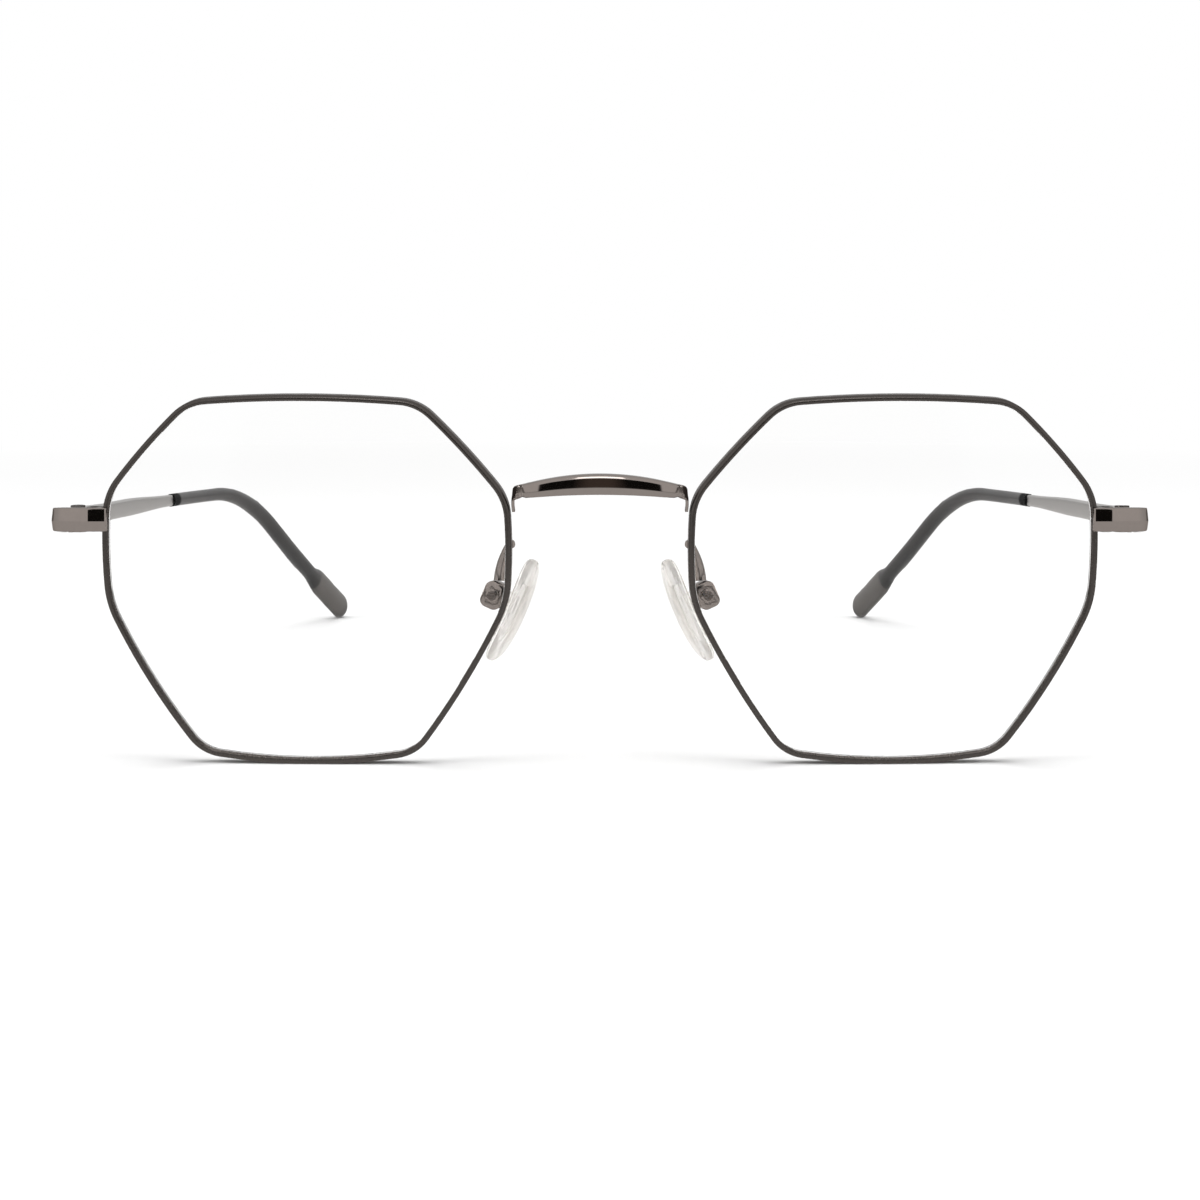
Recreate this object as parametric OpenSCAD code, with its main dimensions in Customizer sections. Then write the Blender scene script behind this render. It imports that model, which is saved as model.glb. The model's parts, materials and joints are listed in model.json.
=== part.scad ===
// Full-rim metal spectacles with eight-sided lenses, screw-on nose pads and sleeved temple tips.
// The front faces -Y, the temples run back along +Y, and the wearer's left is +X.
// The frame stands as it is put down on a table: rim bottoms and temple tips touch z = 0.

/* [Lenses] */
// Width of one lens
lens_w = 50; // [46:0.5:54]
// Height of one lens
lens_h = 45.5; // [40:0.1:50]
// Gap between the two lenses over the nose
lens_gap = 22.6; // [20:0.2:25]
// Radius of the sphere that the lenses and rims follow
base_curve_r = 130; // [100:5:260]
// Thickness of a lens
lens_t = 1.2; // [1:0.1:1.8]
// Thickness left at the lens edge, in the groove
lens_edge_t = 0.24; // [0.16:0.02:0.3]
// Backward turn of each lens towards the temple
wrap_angle = 2; // [0:0.5:5]

/* [Lens outline] */
// Length of the top side
top_side = 28.3; // [24:0.1:31]
// Length of the bottom side
bottom_side = 26.7; // [23:0.1:30]
// Length of the upright side at the temple
temple_side = 13.5; // [11:0.1:16]
// Length of the upright side at the nose
nose_side = 12.8; // [10:0.1:15]
// Height of the middle of the upright sides above the lens centre
side_rise = 3.8; // [2:0.1:5]
// Bow of the top side
top_bow = 0.7; // [0.2:0.05:1.2]
// Bow of the bottom side
bottom_bow = 1.1; // [0.4:0.05:1.6]
// Bow of the upright sides
side_bow = 0.3; // [0.05:0.05:0.6]
// Bow of the two upper slanted sides
upper_bow = 0.36; // [0.1:0.02:0.8]
// Bow of the two lower slanted sides
lower_bow = 0.6; // [0.2:0.05:1.2]
// Length of side that each rounded corner takes up
corner_len = 2.2; // [1.4:0.1:2.8]

/* [Rims] */
// Thickness of the rim wire across its front face
rim_wall = 0.72; // [0.64:0.02:1]
// Depth of the rim wire, front to back
rim_depth = 2.5; // [1.8:0.1:3]
// Depth of the lens groove in the rim
groove_depth = 0.38; // [0.3:0.02:0.45]
// Width of the groove at its mouth
groove_w = 0.7; // [0.6:0.05:0.9]
// Height of the crown on the rim's front face
rim_crown = 0.06; // [0.02:0.02:0.12]
// Width of the cut where the rim opens to take its lens
rim_cut = 0.2; // [0.1:0.05:0.4]
// Height of that cut above the lens centre
cut_rise = 7.6; // [6:0.1:8]

/* [Front] */
// Distance that an endpiece reaches outwards past the lens beside it
endpiece_reach = 6.8; // [6:0.1:8.5]
// Thickness of an endpiece
endpiece_t = 1.15; // [0.9:0.05:1.4]
// Height of an endpiece
endpiece_h = 2.95; // [2.4:0.05:3.4]
// Radius of the endpiece's turn towards the temple
endpiece_turn_r = 2; // [1.4:0.1:3]
// Backward slant of the endpiece's front plate
endpiece_slant = 7; // [0:1:15]
// Amount that an endpiece stands proud of the rim's front
endpiece_proud = 0.75; // [0.4:0.05:1.2]
// Width of a rim lock block
lock_w = 2; // [1.6:0.1:2.6]
// Height of each half of the rim lock
lock_h = 1.25; // [1.1:0.05:2]
// Depth of a rim lock block
lock_depth = 1.9; // [1.7:0.1:2.4]

/* [Bridge] */
// Height of the bridge bar's middle above the lens centre
bridge_rise = 12.4; // [11:0.1:15]
// Width of the bar between its two shoulders
bridge_w = 18.9; // [16:0.1:20]
// Drop of the bar's middle line towards its ends
bridge_arch = 0.9; // [0.2:0.1:2]
// Forward reach of the bar's front face past the lens centres
bridge_reach = 2; // [0.5:0.1:3]
// Backward curve of the bar from its middle to its ends
bridge_bow = 0.6; // [0:0.1:1.5]
// Height of the bar at its middle
bridge_h = 2.5; // [1.8:0.1:2.8]
// Height of the bar at its ends
bridge_end_h = 1.7; // [1.3:0.1:2.2]
// Depth of the bar
bridge_t = 1.7; // [1.2:0.1:2.2]
// Length of the leg that lies against the rim
bridge_leg = 1.5; // [1:0.1:4]
// Thickness of that leg
leg_t = 0.4; // [0.3:0.05:0.6]

/* [Hinges] */
// Distance of the hinge pin behind the lens centres
hinge_back = 9.9; // [8:0.1:13]
// Height of the hinge above the lens centre
hinge_rise = 6.35; // [5:0.05:7.4]
// Tilt between the front and the line of the temples
pantoscopic_tilt = 5.2; // [3:0.1:9]
// Outer radius of the hinge barrels
barrel_r = 1.05; // [0.95:0.05:1.4]
// Height of the stack of three barrels
barrel_h = 2.9; // [2.7:0.1:4]
// Radius of the hinge screw
hinge_screw_r = 0.6; // [0.45:0.05:0.7]
// Thickness of a hinge leaf
leaf_t = 0.6; // [0.4:0.05:0.8]
// Length of a hinge leaf from the pin
leaf_len = 4.3; // [3.5:0.1:4.6]
// Height of a hinge leaf's plate
leaf_h = 2.1; // [1.8:0.1:2.4]

/* [Temples] */
// Length of a temple along its curve, from the pin to the tip's end
temple_len = 140; // [130:1:150]
// Length from the pin to the bend behind the ear
bend_at = 83.5; // [74:0.5:92]
// Radius of the ear bend
bend_r = 47; // [30:1:60]
// Angle that the temple drops at the ear bend
drop_angle = 30; // [22:0.5:40]
// Length from the pin to where the temple starts to curve inwards
curve_at = 15; // [12:1:40]
// Radius of the temple's inward curve
hug_r = 309; // [220:1:500]
// Thickness of the metal temple
temple_t = 1; // [0.8:0.05:1.3]
// Height of the metal temple
temple_h = 2.4; // [1.8:0.05:3]
// Height of the temple where it enters its sleeve
neck_h = 1.65; // [1.2:0.05:1.9]
// Length over which the temple narrows behind its hinge
wedge_len = 30; // [15:1:45]
// Length over which the temple narrows to that neck
neck_len = 22; // [8:1:28]
// Height of the core wire inside the sleeve
core_h = 1.2; // [1:0.05:1.5]
// Thickness of that core wire
core_t = 0.8; // [0.6:0.05:1]

/* [Temple tips] */
// Length of the sleeve with its paddle
tip_len = 77; // [64:1:78]
// Height of the sleeve at its mouth
sleeve_h = 1.9; // [1.8:0.05:2.6]
// Thickness of the sleeve
sleeve_t = 1.5; // [1.4:0.05:2]
// Height of the sleeve past the ear bend
drop_h = 2.5; // [1.9:0.05:3]
// Height of the paddle
paddle_h = 4.3; // [3:0.1:5.5]
// Thickness of the paddle
paddle_t = 2.3; // [1.6:0.1:2.8]
// Length of the paddle, with its widening
paddle_len = 15; // [12:0.5:20]
// Distance from the end of the core wire to the end of the tip
core_stop = 10; // [8:0.5:16]

/* [Nose pads] */
// Length of a nose pad
pad_len = 13.8; // [11:0.1:16]
// Width of a nose pad
pad_w = 7.2; // [6:0.2:9]
// Thickness of a nose pad at its middle
pad_t = 1.95; // [1.8:0.05:3]
// Distance of the pad's screw from the middle of the face
pad_screw_x = 13.3; // [12.5:0.1:14.5]
// Distance of the pad's screw behind the lens centres
pad_screw_back = 7.6; // [6.5:0.1:10]
// Height of the pad's screw below the lens centre
pad_screw_drop = 2.7; // [1:0.1:4]
// Lean of the pads towards each other at the top
pad_lean = 23; // [15:1:30]
// Turn of the pads outwards at the back
pad_splay = 12; // [5:1:25]
// Distance from the pad's screw to the middle of the pad
pad_reach = 3.35; // [3:0.05:4]
// Height of the screw above the pad's middle
pad_offset = 0.85; // [0:0.05:2.5]
// Height of the pad box
pad_box_h = 3.4; // [3.2:0.1:4]
// Width of the pad box
pad_box_w = 2.7; // [2.7:0.1:3.4]
// Depth of the pad box along its screw
pad_box_t = 2.5; // [2.3:0.1:3.2]
// Radius of the pad screw
pad_screw_r = 0.45; // [0.35:0.05:0.5]
// Radius of the pad arm's wire
pad_arm_r = 0.5; // [0.4:0.02:0.65]

/* [Fits] */
// Clearance between a pin and the bore that turns on it
pin_clear = 0.04; // [0.02:0.01:0.08]
// Clearance between pieces that are soldered or seated together
seat_clear = 0.03; // [0.02:0.01:0.06]
// Gap between the end of an endpiece and the end of its temple
butt_gap = 0.08; // [0.05:0.01:0.2]

/* [Hidden] */
$fn = 64;

gunmetal = [0.33, 0.31, 0.30];
polished = [0.52, 0.49, 0.47];
temple_grey = [0.62, 0.62, 0.61];
steel = [0.72, 0.71, 0.70];
sleeve_grey = [0.30, 0.29, 0.28];
clear_grey = [0.88, 0.90, 0.91, 0.35];
silicone = [0.93, 0.92, 0.90, 0.6];

// General shapes

// A closed skin over a row of rings with equal point counts, each ring clockwise when seen from
// the row's first end; cap lists the triangles of an end
module skin(rings, cap = []) {
    n = len(rings[0]);
    last = len(rings) - 1;
    fill = len(cap) > 0 ? cap : [for (j = [1 : n - 2]) [0, j, j + 1]];
    points = [for (ring = rings) for (p = ring) p];
    sides = [for (k = [0 : last - 1]) for (j = [0 : n - 1])
        let (a = k * n + j, b = k * n + (j + 1) % n)
        each [[a, b + n, b], [a, a + n, b + n]]];
    start = fill;
    end = [for (f = fill) [for (j = [f[0], f[2], f[1]]) last * n + j]];
    polyhedron(points, concat(sides, start, end));
}

// A closed skin over loops that shrink to one point at each end
module shell(first, loops, final) {
    n = len(loops[0]);
    count = len(loops);
    points = concat([first], [for (loop = loops) for (p = loop) p], [final]);
    sides = [for (k = [0 : count - 2]) for (j = [0 : n - 1])
        let (a = 1 + k * n + j, b = 1 + k * n + (j + 1) % n)
        each [[a, b, b + n], [a, b + n, a + n]]];
    head = [for (j = [0 : n - 1]) [0, 1 + (j + 1) % n, 1 + j]];
    base = 1 + (count - 1) * n;
    tail = [for (j = [0 : n - 1]) [base + n, base + j, base + (j + 1) % n]];
    polyhedron(points, concat(sides, head, tail));
}

function mix(a, b, t) = a + (b - a) * t;
function ease(t) = let (c = max(0, min(1, t))) c * c * (3 - 2 * c);
function bezier(p, t) = pow(1 - t, 3) * p[0] + 3 * t * pow(1 - t, 2) * p[1] + 3 * t * t * (1 - t) * p[2]
    + pow(t, 3) * p[3];
function unit(v) = v / norm(v);
function flipped(list) = [for (j = [len(list) - 1 : -1 : 0]) list[j]];
function ring(centre, u, v, outline) = [for (p = outline) centre + p[0] * u + p[1] * v];
function oval(a, b, count) = [for (i = [0 : count - 1])
    let (t = 360 * i / count) [a * cos(t), b * sin(t)]];
// Flat bar with eased edges and a low crown on its outer face: half thickness, half height, crown
function bar(a, b, crown) = let (e = min(0.22, a * 0.45)) [
    [a, 0], [a - crown * 0.4, b * 0.55], [a - crown - e * 0.6, b - e * 0.15], [a - crown - e, b],
    [-a + e, b], [-a, b - e], [-a, -b + e], [-a + e, -b], [a - crown - e, -b],
    [a - crown - e * 0.6, -b + e * 0.15],
    [a - crown * 0.4, -b * 0.55]];

// Lens outline, in the lens's own plane: +x to the temple, +y up

half_w = lens_w / 2;
half_h = lens_h / 2;
// The top and bottom sides stand a little towards the temple
top_shift = 0.25;
bottom_shift = 0.15;
corners = [
    [half_w - side_bow, side_rise + temple_side / 2],
    [top_side / 2 + top_shift, half_h - top_bow],
    [-top_side / 2 + top_shift, half_h - top_bow],
    [-half_w + side_bow, side_rise + nose_side / 2],
    [-half_w + side_bow, side_rise - nose_side / 2],
    [-bottom_side / 2 + bottom_shift, -half_h + bottom_bow],
    [bottom_side / 2 + bottom_shift, -half_h + bottom_bow],
    [half_w - side_bow, side_rise - temple_side / 2]
];
bows = [upper_bow, top_bow, upper_bow, side_bow, lower_bow, bottom_bow, lower_bow, side_bow];

function side_len(i) = norm(corners[(i + 1) % 8] - corners[i]);
function side_out(i) = let (d = unit(corners[(i + 1) % 8] - corners[i])) [d[1], -d[0]];
function side_point(i, t) = mix(corners[i], corners[(i + 1) % 8], t)
    + 4 * t * (1 - t) * bows[i] * side_out(i);
function side_heading(i, t) = unit(corners[(i + 1) % 8] - corners[i]
    + 4 * (1 - 2 * t) * bows[i] * side_out(i));
side_steps = 5;
corner_steps = 6;
function corner_point(i, t) = let (
    j = (i + 7) % 8,
    t0 = 1 - corner_len / side_len(j),
    t1 = corner_len / side_len(i),
    a = side_point(j, t0),
    b = side_point(i, t1),
    reach = 0.65 * corner_len)
    bezier([a, a + reach * side_heading(j, t0), b - reach * side_heading(i, t1), b], t);
cut_t = (cut_rise - corners[7][1]) / side_len(7);
cut_half_t = rim_cut / 2 / side_len(7);
// The outline starts just above the rim's cut and runs over the top, down the nose side and back up
outline = concat(
    [for (k = [0 : 2]) side_point(7, mix(cut_t + cut_half_t, 1 - corner_len / side_len(7), k / 3))],
    [for (i = [0 : 7]) each concat(
        [for (k = [0 : corner_steps - 1]) corner_point(i, k / corner_steps)],
        i == 7 ? [] : [for (k = [0 : side_steps - 1])
            side_point(i, mix(corner_len / side_len(i), 1 - corner_len / side_len(i), k / side_steps))])],
    [for (k = [0 : side_steps])
        side_point(7, mix(corner_len / side_len(7), cut_t - cut_half_t, k / side_steps))]
);
outline_n = len(outline);
outline_out = [for (i = [0 : outline_n - 1])
    let (d = unit(outline[(i + 1) % outline_n] - outline[(i + outline_n - 1) % outline_n])) [d[1], -d[0]]];

// Depth of the lens sphere behind its foremost point
function sag(p) = base_curve_r - sqrt(base_curve_r * base_curve_r - p[0] * p[0] - p[1] * p[1]);
// A point of the lens at outline point i, offset outwards by r and backwards by c
function edge_point(i, r, c) = let (p = outline[i] + r * outline_out[i]) [p[0], sag(p) + c, p[1]];

// Frames: lens to front, front to hinge line, hinge line to the floor

lens_x = lens_gap / 2 + half_w;
front_w = lens_gap + 2 * (lens_w + endpiece_reach);
rim_out = rim_wall - groove_depth;
function lens_to_front(p) = [
    lens_x + p[0] * cos(wrap_angle) - p[1] * sin(wrap_angle),
    p[0] * sin(wrap_angle) + p[1] * cos(wrap_angle),
    p[2]];
function front_to_hinge(p) = let (y = p[1] - hinge_back, z = p[2] - hinge_rise) [
    p[0],
    y * cos(pantoscopic_tilt) - z * sin(pantoscopic_tilt),
    y * sin(pantoscopic_tilt) + z * cos(pantoscopic_tilt)];
module in_front() rotate([pantoscopic_tilt, 0, 0]) translate([0, -hinge_back, -hinge_rise]) children();
module in_lens() in_front() translate([lens_x, 0, 0]) rotate([0, 0, wrap_angle]) children();

hinge_x = front_w / 2 - endpiece_t - barrel_r - seat_clear;
module in_hinge() translate([hinge_x, 0, 0]) children();

// Temple line, from the pin: side profile first, then the inward curve
temple_x = hinge_x + barrel_r + seat_clear + temple_t / 2;
bend_arc = bend_r * drop_angle * PI / 180;
function bend_turn(s) = max(0, min(drop_angle, (s - bend_at) / bend_r * 180 / PI));
function temple_run(s) = min(s, bend_at) + bend_r * sin(bend_turn(s))
    + max(0, s - bend_at - bend_arc) * cos(drop_angle);
// The temple narrows from above, so its middle line sinks a little behind the hinge
function temple_drop(s) = (endpiece_h - temple_h) / 2 * ease(s / wedge_len)
    + bend_r * (1 - cos(bend_turn(s))) + max(0, s - bend_at - bend_arc) * sin(drop_angle);
function hug_turn(s) = max(0, temple_run(s) - curve_at) / hug_r * 180 / PI;
function temple_point(s) = [
    temple_x - hug_r * (1 - cos(hug_turn(s))),
    min(temple_run(s), curve_at) + hug_r * sin(hug_turn(s)),
    -temple_drop(s)];
function temple_side_dir(s) = [cos(hug_turn(s)), sin(hug_turn(s)), 0];
function temple_up_dir(s) = [
    -sin(hug_turn(s)) * sin(bend_turn(s)),
    cos(hug_turn(s)) * sin(bend_turn(s)),
    cos(bend_turn(s))];
function temple_ring(s, outline_2d) =
    ring(temple_point(s), temple_side_dir(s), temple_up_dir(s), outline_2d);

// Stations along the sleeve and its core
mouth_at = temple_len - tip_len;
core_end = temple_len - core_stop;
paddle_at = temple_len - paddle_len;
widening = 4;
paddle_round = paddle_h * 0.5;
core_steps = 22;
core_stations = [for (k = [0 : core_steps]) mix(mouth_at, core_end, k / core_steps)];
round_steps = 6;
tip_stations = concat(
    core_stations,
    [for (k = [1 : 5]) mix(core_end, temple_len - paddle_round, k / 5)],
    [for (k = [1 : round_steps]) temple_len - paddle_round * (1 - sin(90 * k / round_steps * 0.985))]);
function swollen(s) = ease((s - bend_at + 4) / 24);
function tip_half_h(s) = let (
    slim = mix(sleeve_h, drop_h, swollen(s)),
    wide = mix(slim, paddle_h, ease((s - paddle_at) / widening)),
    over = max(0, s - temple_len + paddle_round) / paddle_round)
    wide / 2 * sqrt(max(0.0004, 1 - over * over));
function tip_half_t(s) = let (
    thick = mix(sleeve_t, paddle_t, swollen(s)),
    over = max(0, s - temple_len + paddle_round) / paddle_round)
    thick / 2 * sqrt(max(0.0016, 1 - pow(over, 3)));
tip_outer = [for (s = tip_stations) temple_ring(s, oval(tip_half_t(s), tip_half_h(s), 12))];

// Floor line under the rim bottoms and the temple tips
rim_bottom = [for (i = [0 : outline_n - 1]) for (c = [-1, 1])
    front_to_hinge(lens_to_front(edge_point(i, rim_out, c * rim_depth / 2)))];
rim_low_z = min([for (p = rim_bottom) p[2]]);
rim_low = [for (p = rim_bottom) if (p[2] == rim_low_z) p][0];
tip_points = [for (r = tip_outer) for (p = r) p];
rest_tilt = min([for (p = tip_points) atan((p[2] - rim_low[2]) / (p[1] - rim_low[1]))]);
function seated_y(p) = p[1] * cos(rest_tilt) + p[2] * sin(rest_tilt);
function seated_z(p) = -p[1] * sin(rest_tilt) + p[2] * cos(rest_tilt);
bridge_front = front_to_hinge([0, -bridge_reach, bridge_rise]);
seat_y = (seated_y(bridge_front) + max([for (p = tip_points) seated_y(p)])) / 2;
seat_z = min([for (p = rim_bottom) seated_z(p)]);
module seated() translate([0, -seat_y, -seat_z]) rotate([-rest_tilt, 0, 0]) children();
module left() seated() children();
module right() mirror([1, 0, 0]) seated() children();

// Rims and lenses

module rim() color(gunmetal) in_lens() {
    a = rim_depth / 2;
    e = 0.1;
    inner = -groove_depth;
    section = [
        [inner, -a + e], [inner + e, -a], [(inner + rim_out) / 2, -a - rim_crown], [rim_out - e, -a],
        [rim_out, -a + e], [rim_out, a - e], [rim_out - e, a], [inner + e, a], [inner, a - e],
        [inner, groove_w / 2], [seat_clear, lens_edge_t / 2 + seat_clear],
        [seat_clear, -lens_edge_t / 2 - seat_clear], [inner, -groove_w / 2]];
    // The section has a groove, so its ends are filled from the two outer corners
    ends = [[4, 0, 1], [4, 1, 2], [4, 2, 3], [4, 12, 0], [4, 11, 12], [4, 5, 11], [5, 10, 11], [5, 9, 10],
        [5, 8, 9], [5, 7, 8], [5, 6, 7]];
    skin([for (i = [0 : outline_n - 1]) [for (q = section) edge_point(i, q[0], q[1])]], ends);
}

shoulder = -groove_depth - seat_clear;
shoulder_in = 0.35;
lens_section = [[shoulder - shoulder_in, -lens_t / 2], [shoulder, -groove_w / 2 + 2 * seat_clear],
    [0, -lens_edge_t / 2], [0, lens_edge_t / 2], [shoulder, groove_w / 2 - 2 * seat_clear],
    [shoulder - shoulder_in, lens_t / 2]];
// A loop of the lens face, k times the size of its shoulder, c behind the sphere
function face_loop(k, c) = [for (i = [0 : outline_n - 1])
    let (p = k * (outline[i] + (shoulder - shoulder_in) * outline_out[i])) [p[0], sag(p) + c, p[1]]];

module lens() color(clear_grey) in_lens() shell([0, -lens_t / 2, 0],
    concat(
        [for (k = [0.35, 0.7]) face_loop(k, -lens_t / 2)],
        [for (q = lens_section) [for (i = [0 : outline_n - 1]) edge_point(i, q[0], q[1])]],
        [for (k = [0.7, 0.35]) face_loop(k, lens_t / 2)]),
    [0, lens_t / 2, 0]);

// Endpieces and the rim lock behind them

facet_reach = rim_wall - 0.1;
facet_sag = sag([half_w + rim_out - facet_reach, cut_rise - endpiece_h / 2]);
lock_edge = lens_to_front([half_w + rim_out, facet_sag, cut_rise]);
plate_back = lock_edge[1] - rim_depth / 2 - rim_crown - seat_clear;
plate_front = plate_back - endpiece_proud;

// Plan of the endpiece's centre line, in the hinge frame
plate_start = front_to_hinge([lock_edge[0] + seat_clear, plate_front + endpiece_t / 2, cut_rise]);
endpiece_x = front_w / 2 - endpiece_t / 2;
turn_start_x = endpiece_x - endpiece_turn_r * (1 - sin(endpiece_slant));
plate_run = (turn_start_x - plate_start[0]) / cos(endpiece_slant);
turn_end_y = plate_start[1] + plate_run * sin(endpiece_slant) + endpiece_turn_r * cos(endpiece_slant);
function endpiece_z(y) = plate_start[2] * (1 - ease((y - plate_start[1]) / (-plate_start[1])));
function endpiece_lean(y) = pantoscopic_tilt * (1 - ease((y - plate_start[1]) / (-plate_start[1])));
function endpiece_ring(x, y, heading, a, b) = ring(
    [x, y, endpiece_z(y)],
    [sin(heading), -cos(heading) * cos(endpiece_lean(y)), -cos(heading) * sin(endpiece_lean(y))],
    [0, -sin(endpiece_lean(y)), cos(endpiece_lean(y))],
    bar(a, b, 0.12));

module endpiece() color(polished) {
    b = endpiece_h / 2;
    thin = endpiece_proud / 2;
    // The facet that lies on the rim's front, then the full plate beside the rim
    facet = [for (q = [[-facet_reach, 0.45, 0.94], [-facet_reach + 0.3, 0.98, 0.99], [0, 1, 1]])
        ring(plate_start + [q[0], -endpiece_t / 2 + thin, 0], [0, -1, -sin(pantoscopic_tilt)],
            [0, -sin(pantoscopic_tilt), cos(pantoscopic_tilt)], [for (p = bar(thin, b, 0.12))
                [-thin + (p[0] + thin) * q[1], p[1] * q[2]]])];
    plate = [for (k = [0 : 3]) endpiece_ring(
        plate_start[0] + 0.02 + plate_run * cos(endpiece_slant) * k / 3.05,
        plate_start[1] + plate_run * sin(endpiece_slant) * k / 3.05,
        endpiece_slant * min(1, k), endpiece_t / 2, b)];
    turn = [for (k = [0 : 6]) let (h = mix(endpiece_slant, 90, k / 6)) endpiece_ring(
        endpiece_x - endpiece_turn_r * (1 - sin(h)), turn_end_y - endpiece_turn_r * cos(h), h,
        endpiece_t / 2, b)];
    arm = [for (k = [1 : 3]) endpiece_ring(endpiece_x, mix(turn_end_y, -butt_gap / 2, k / 3), 90,
        endpiece_t / 2, b)];
    skin([for (r = concat(facet, plate, turn, arm)) flipped(r)]);
}

lock_front = plate_front + endpiece_t + seat_clear + 0.12;
lock_screw_x = lock_edge[0] + seat_clear + lock_w / 2 + 0.1;
lock_screw_y = lock_front + lock_depth / 2;
lock_screw_r = 0.45;

// One half of the lock: a block with a rounded outer end, bored for the lock screw
module lock_block(low, high, bore) difference() {
    translate([0, 0, low]) linear_extrude(high - low) union() {
        translate([lock_screw_x, lock_screw_y]) circle(r = lock_depth / 2);
        translate([lock_edge[0] + seat_clear, lock_front])
            square([lock_screw_x - lock_edge[0] - seat_clear, lock_depth]);
    }
    translate([lock_screw_x, lock_screw_y, low - 1]) cylinder(r = bore, h = high - low + 2);
}
module rim_lock_upper() color(gunmetal) in_front()
    lock_block(cut_rise + rim_cut / 2, cut_rise + rim_cut / 2 + lock_h, lock_screw_r + seat_clear);
module rim_lock_lower() color(gunmetal) in_front()
    lock_block(cut_rise - rim_cut / 2 - lock_h, cut_rise - rim_cut / 2, lock_screw_r + pin_clear);
module rim_lock_screw() color(steel) in_front()
    translate([lock_screw_x, lock_screw_y, cut_rise - rim_cut / 2 - lock_h]) {
        head_h = 0.35;
        difference() {
            union() {
                cylinder(r = lock_screw_r, h = 2 * lock_h + rim_cut);
                translate([0, 0, -head_h]) cylinder(r = 0.8, h = head_h - seat_clear);
            }
            translate([-1, -0.12, -head_h - 1]) cube([2, 0.24, 1.17]);
        }
        translate([0, 0, -seat_clear - 0.01]) cylinder(r = lock_screw_r, h = seat_clear + 0.02);
    }

// Bridge

nose_wall = lens_to_front([-half_w - rim_out, sag([half_w + rim_out, cut_rise]), 0]);
shoulder_x = bridge_w / 2;
bar_back = -bridge_reach + bridge_t / 2;
end_back = bar_back + bridge_bow;
end_rise = bridge_rise - bridge_arch;
leg_x = nose_wall[0] - seat_clear - leg_t / 2;
leg_low = side_rise + nose_side / 2 - bridge_leg;

// A ring of the bridge: centre, turn in plan, dip, half height and half depth
function bridge_ring(centre, turn, dip, b, a) = ring(centre,
    [-sin(turn), cos(turn), 0],
    [-cos(turn) * sin(dip), -sin(turn) * sin(dip), cos(dip)],
    [[a, b * 0.76], [a * 0.76, b], [-a * 0.4, b], [-a * 0.85, b * 0.76], [-a, b * 0.1],
        [-a * 0.88, -b * 0.72], [-a * 0.6, -b], [a * 0.76, -b], [a, -b * 0.76]]);

// The bar, from its middle (t = 0) to its shoulder (t = 1)
bar_steps = 6;
end_bevel = 0.35;
function bar_ring(t) = bridge_ring(
    [(shoulder_x - end_bevel) * t, bar_back + bridge_bow * t * t, bridge_rise - bridge_arch * t * t],
    atan(2 * bridge_bow * t / shoulder_x), -atan(2 * bridge_arch * t / shoulder_x),
    mix(bridge_h, bridge_end_h, t * t) / 2, bridge_t / 2);

// The arm leaves the shoulder outwards, turns back and down, and ends as a thin leg on the rim's wall
arm_path_b = [
    [shoulder_x, end_back + 0.35, end_rise],
    [shoulder_x + 1.1, mix(end_back, nose_wall[1], 0.5), end_rise - 0.3],
    [leg_x + 0.25, nose_wall[1], side_rise + nose_side / 2 + 0.5],
    [leg_x, nose_wall[1], leg_low]];
arm_rings = 8;
// The arm's turn and dip where it leaves the bar and where its leg ends
arm_turn = [26, 90];
arm_dip = [10, 88];
arm_half_t = 0.42;
arm_half_h = [bridge_end_h * 0.46, 0.8, rim_depth * 0.34];
function arm_ring(t) = bridge_ring(bezier(arm_path_b, t),
    mix(arm_turn[0], arm_turn[1], ease(t * 1.7)), -mix(arm_dip[0], arm_dip[1], ease(t * 1.1)),
    mix(mix(arm_half_h[0], arm_half_h[1], ease(t * 2)), arm_half_h[2], ease(2 * t - 1)),
    mix(arm_half_t, leg_t / 2, ease(t * 1.3)));

// Half of the bridge, from its middle out to the end of one leg
function bridge_half() = concat(
    [for (k = [0 : bar_steps]) bar_ring(k / bar_steps)],
    [bridge_ring([shoulder_x - 0.1, end_back + 0.05, end_rise], 8, -8,
        bridge_end_h * 0.47, bridge_t * 0.44)],
    [for (k = [0 : arm_rings]) arm_ring(k / arm_rings)]);

module bridge() color(polished) seated() in_front() {
    half = bridge_half();
    mirrored = [for (k = [len(half) - 1 : -1 : 1]) [for (p = half[k]) [-p[0], p[1], p[2]]]];
    skin(concat(mirrored, half));
}

// Hinges

gap_h = 0.05;
mid_h = (barrel_h - 2 * gap_h) * 0.36;
outer_h = (barrel_h - 2 * gap_h - mid_h) / 2;
root_gap = 0.15;

// A barrel with its web to the leaf; way is -1 for the front leaf and 1 for the temple leaf
module knuckle(low, high, way) translate([0, 0, low]) linear_extrude(high - low) union() {
    circle(r = barrel_r);
    translate([barrel_r - leaf_t, way < 0 ? -barrel_r - root_gap - 0.1 : 0])
        square([leaf_t, barrel_r + root_gap + 0.1]);
}
module leaf_plate(way)
    translate([barrel_r - leaf_t, way < 0 ? -leaf_len : barrel_r + root_gap, -leaf_h / 2])
    cube([leaf_t, leaf_len - barrel_r - root_gap, leaf_h]);

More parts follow.
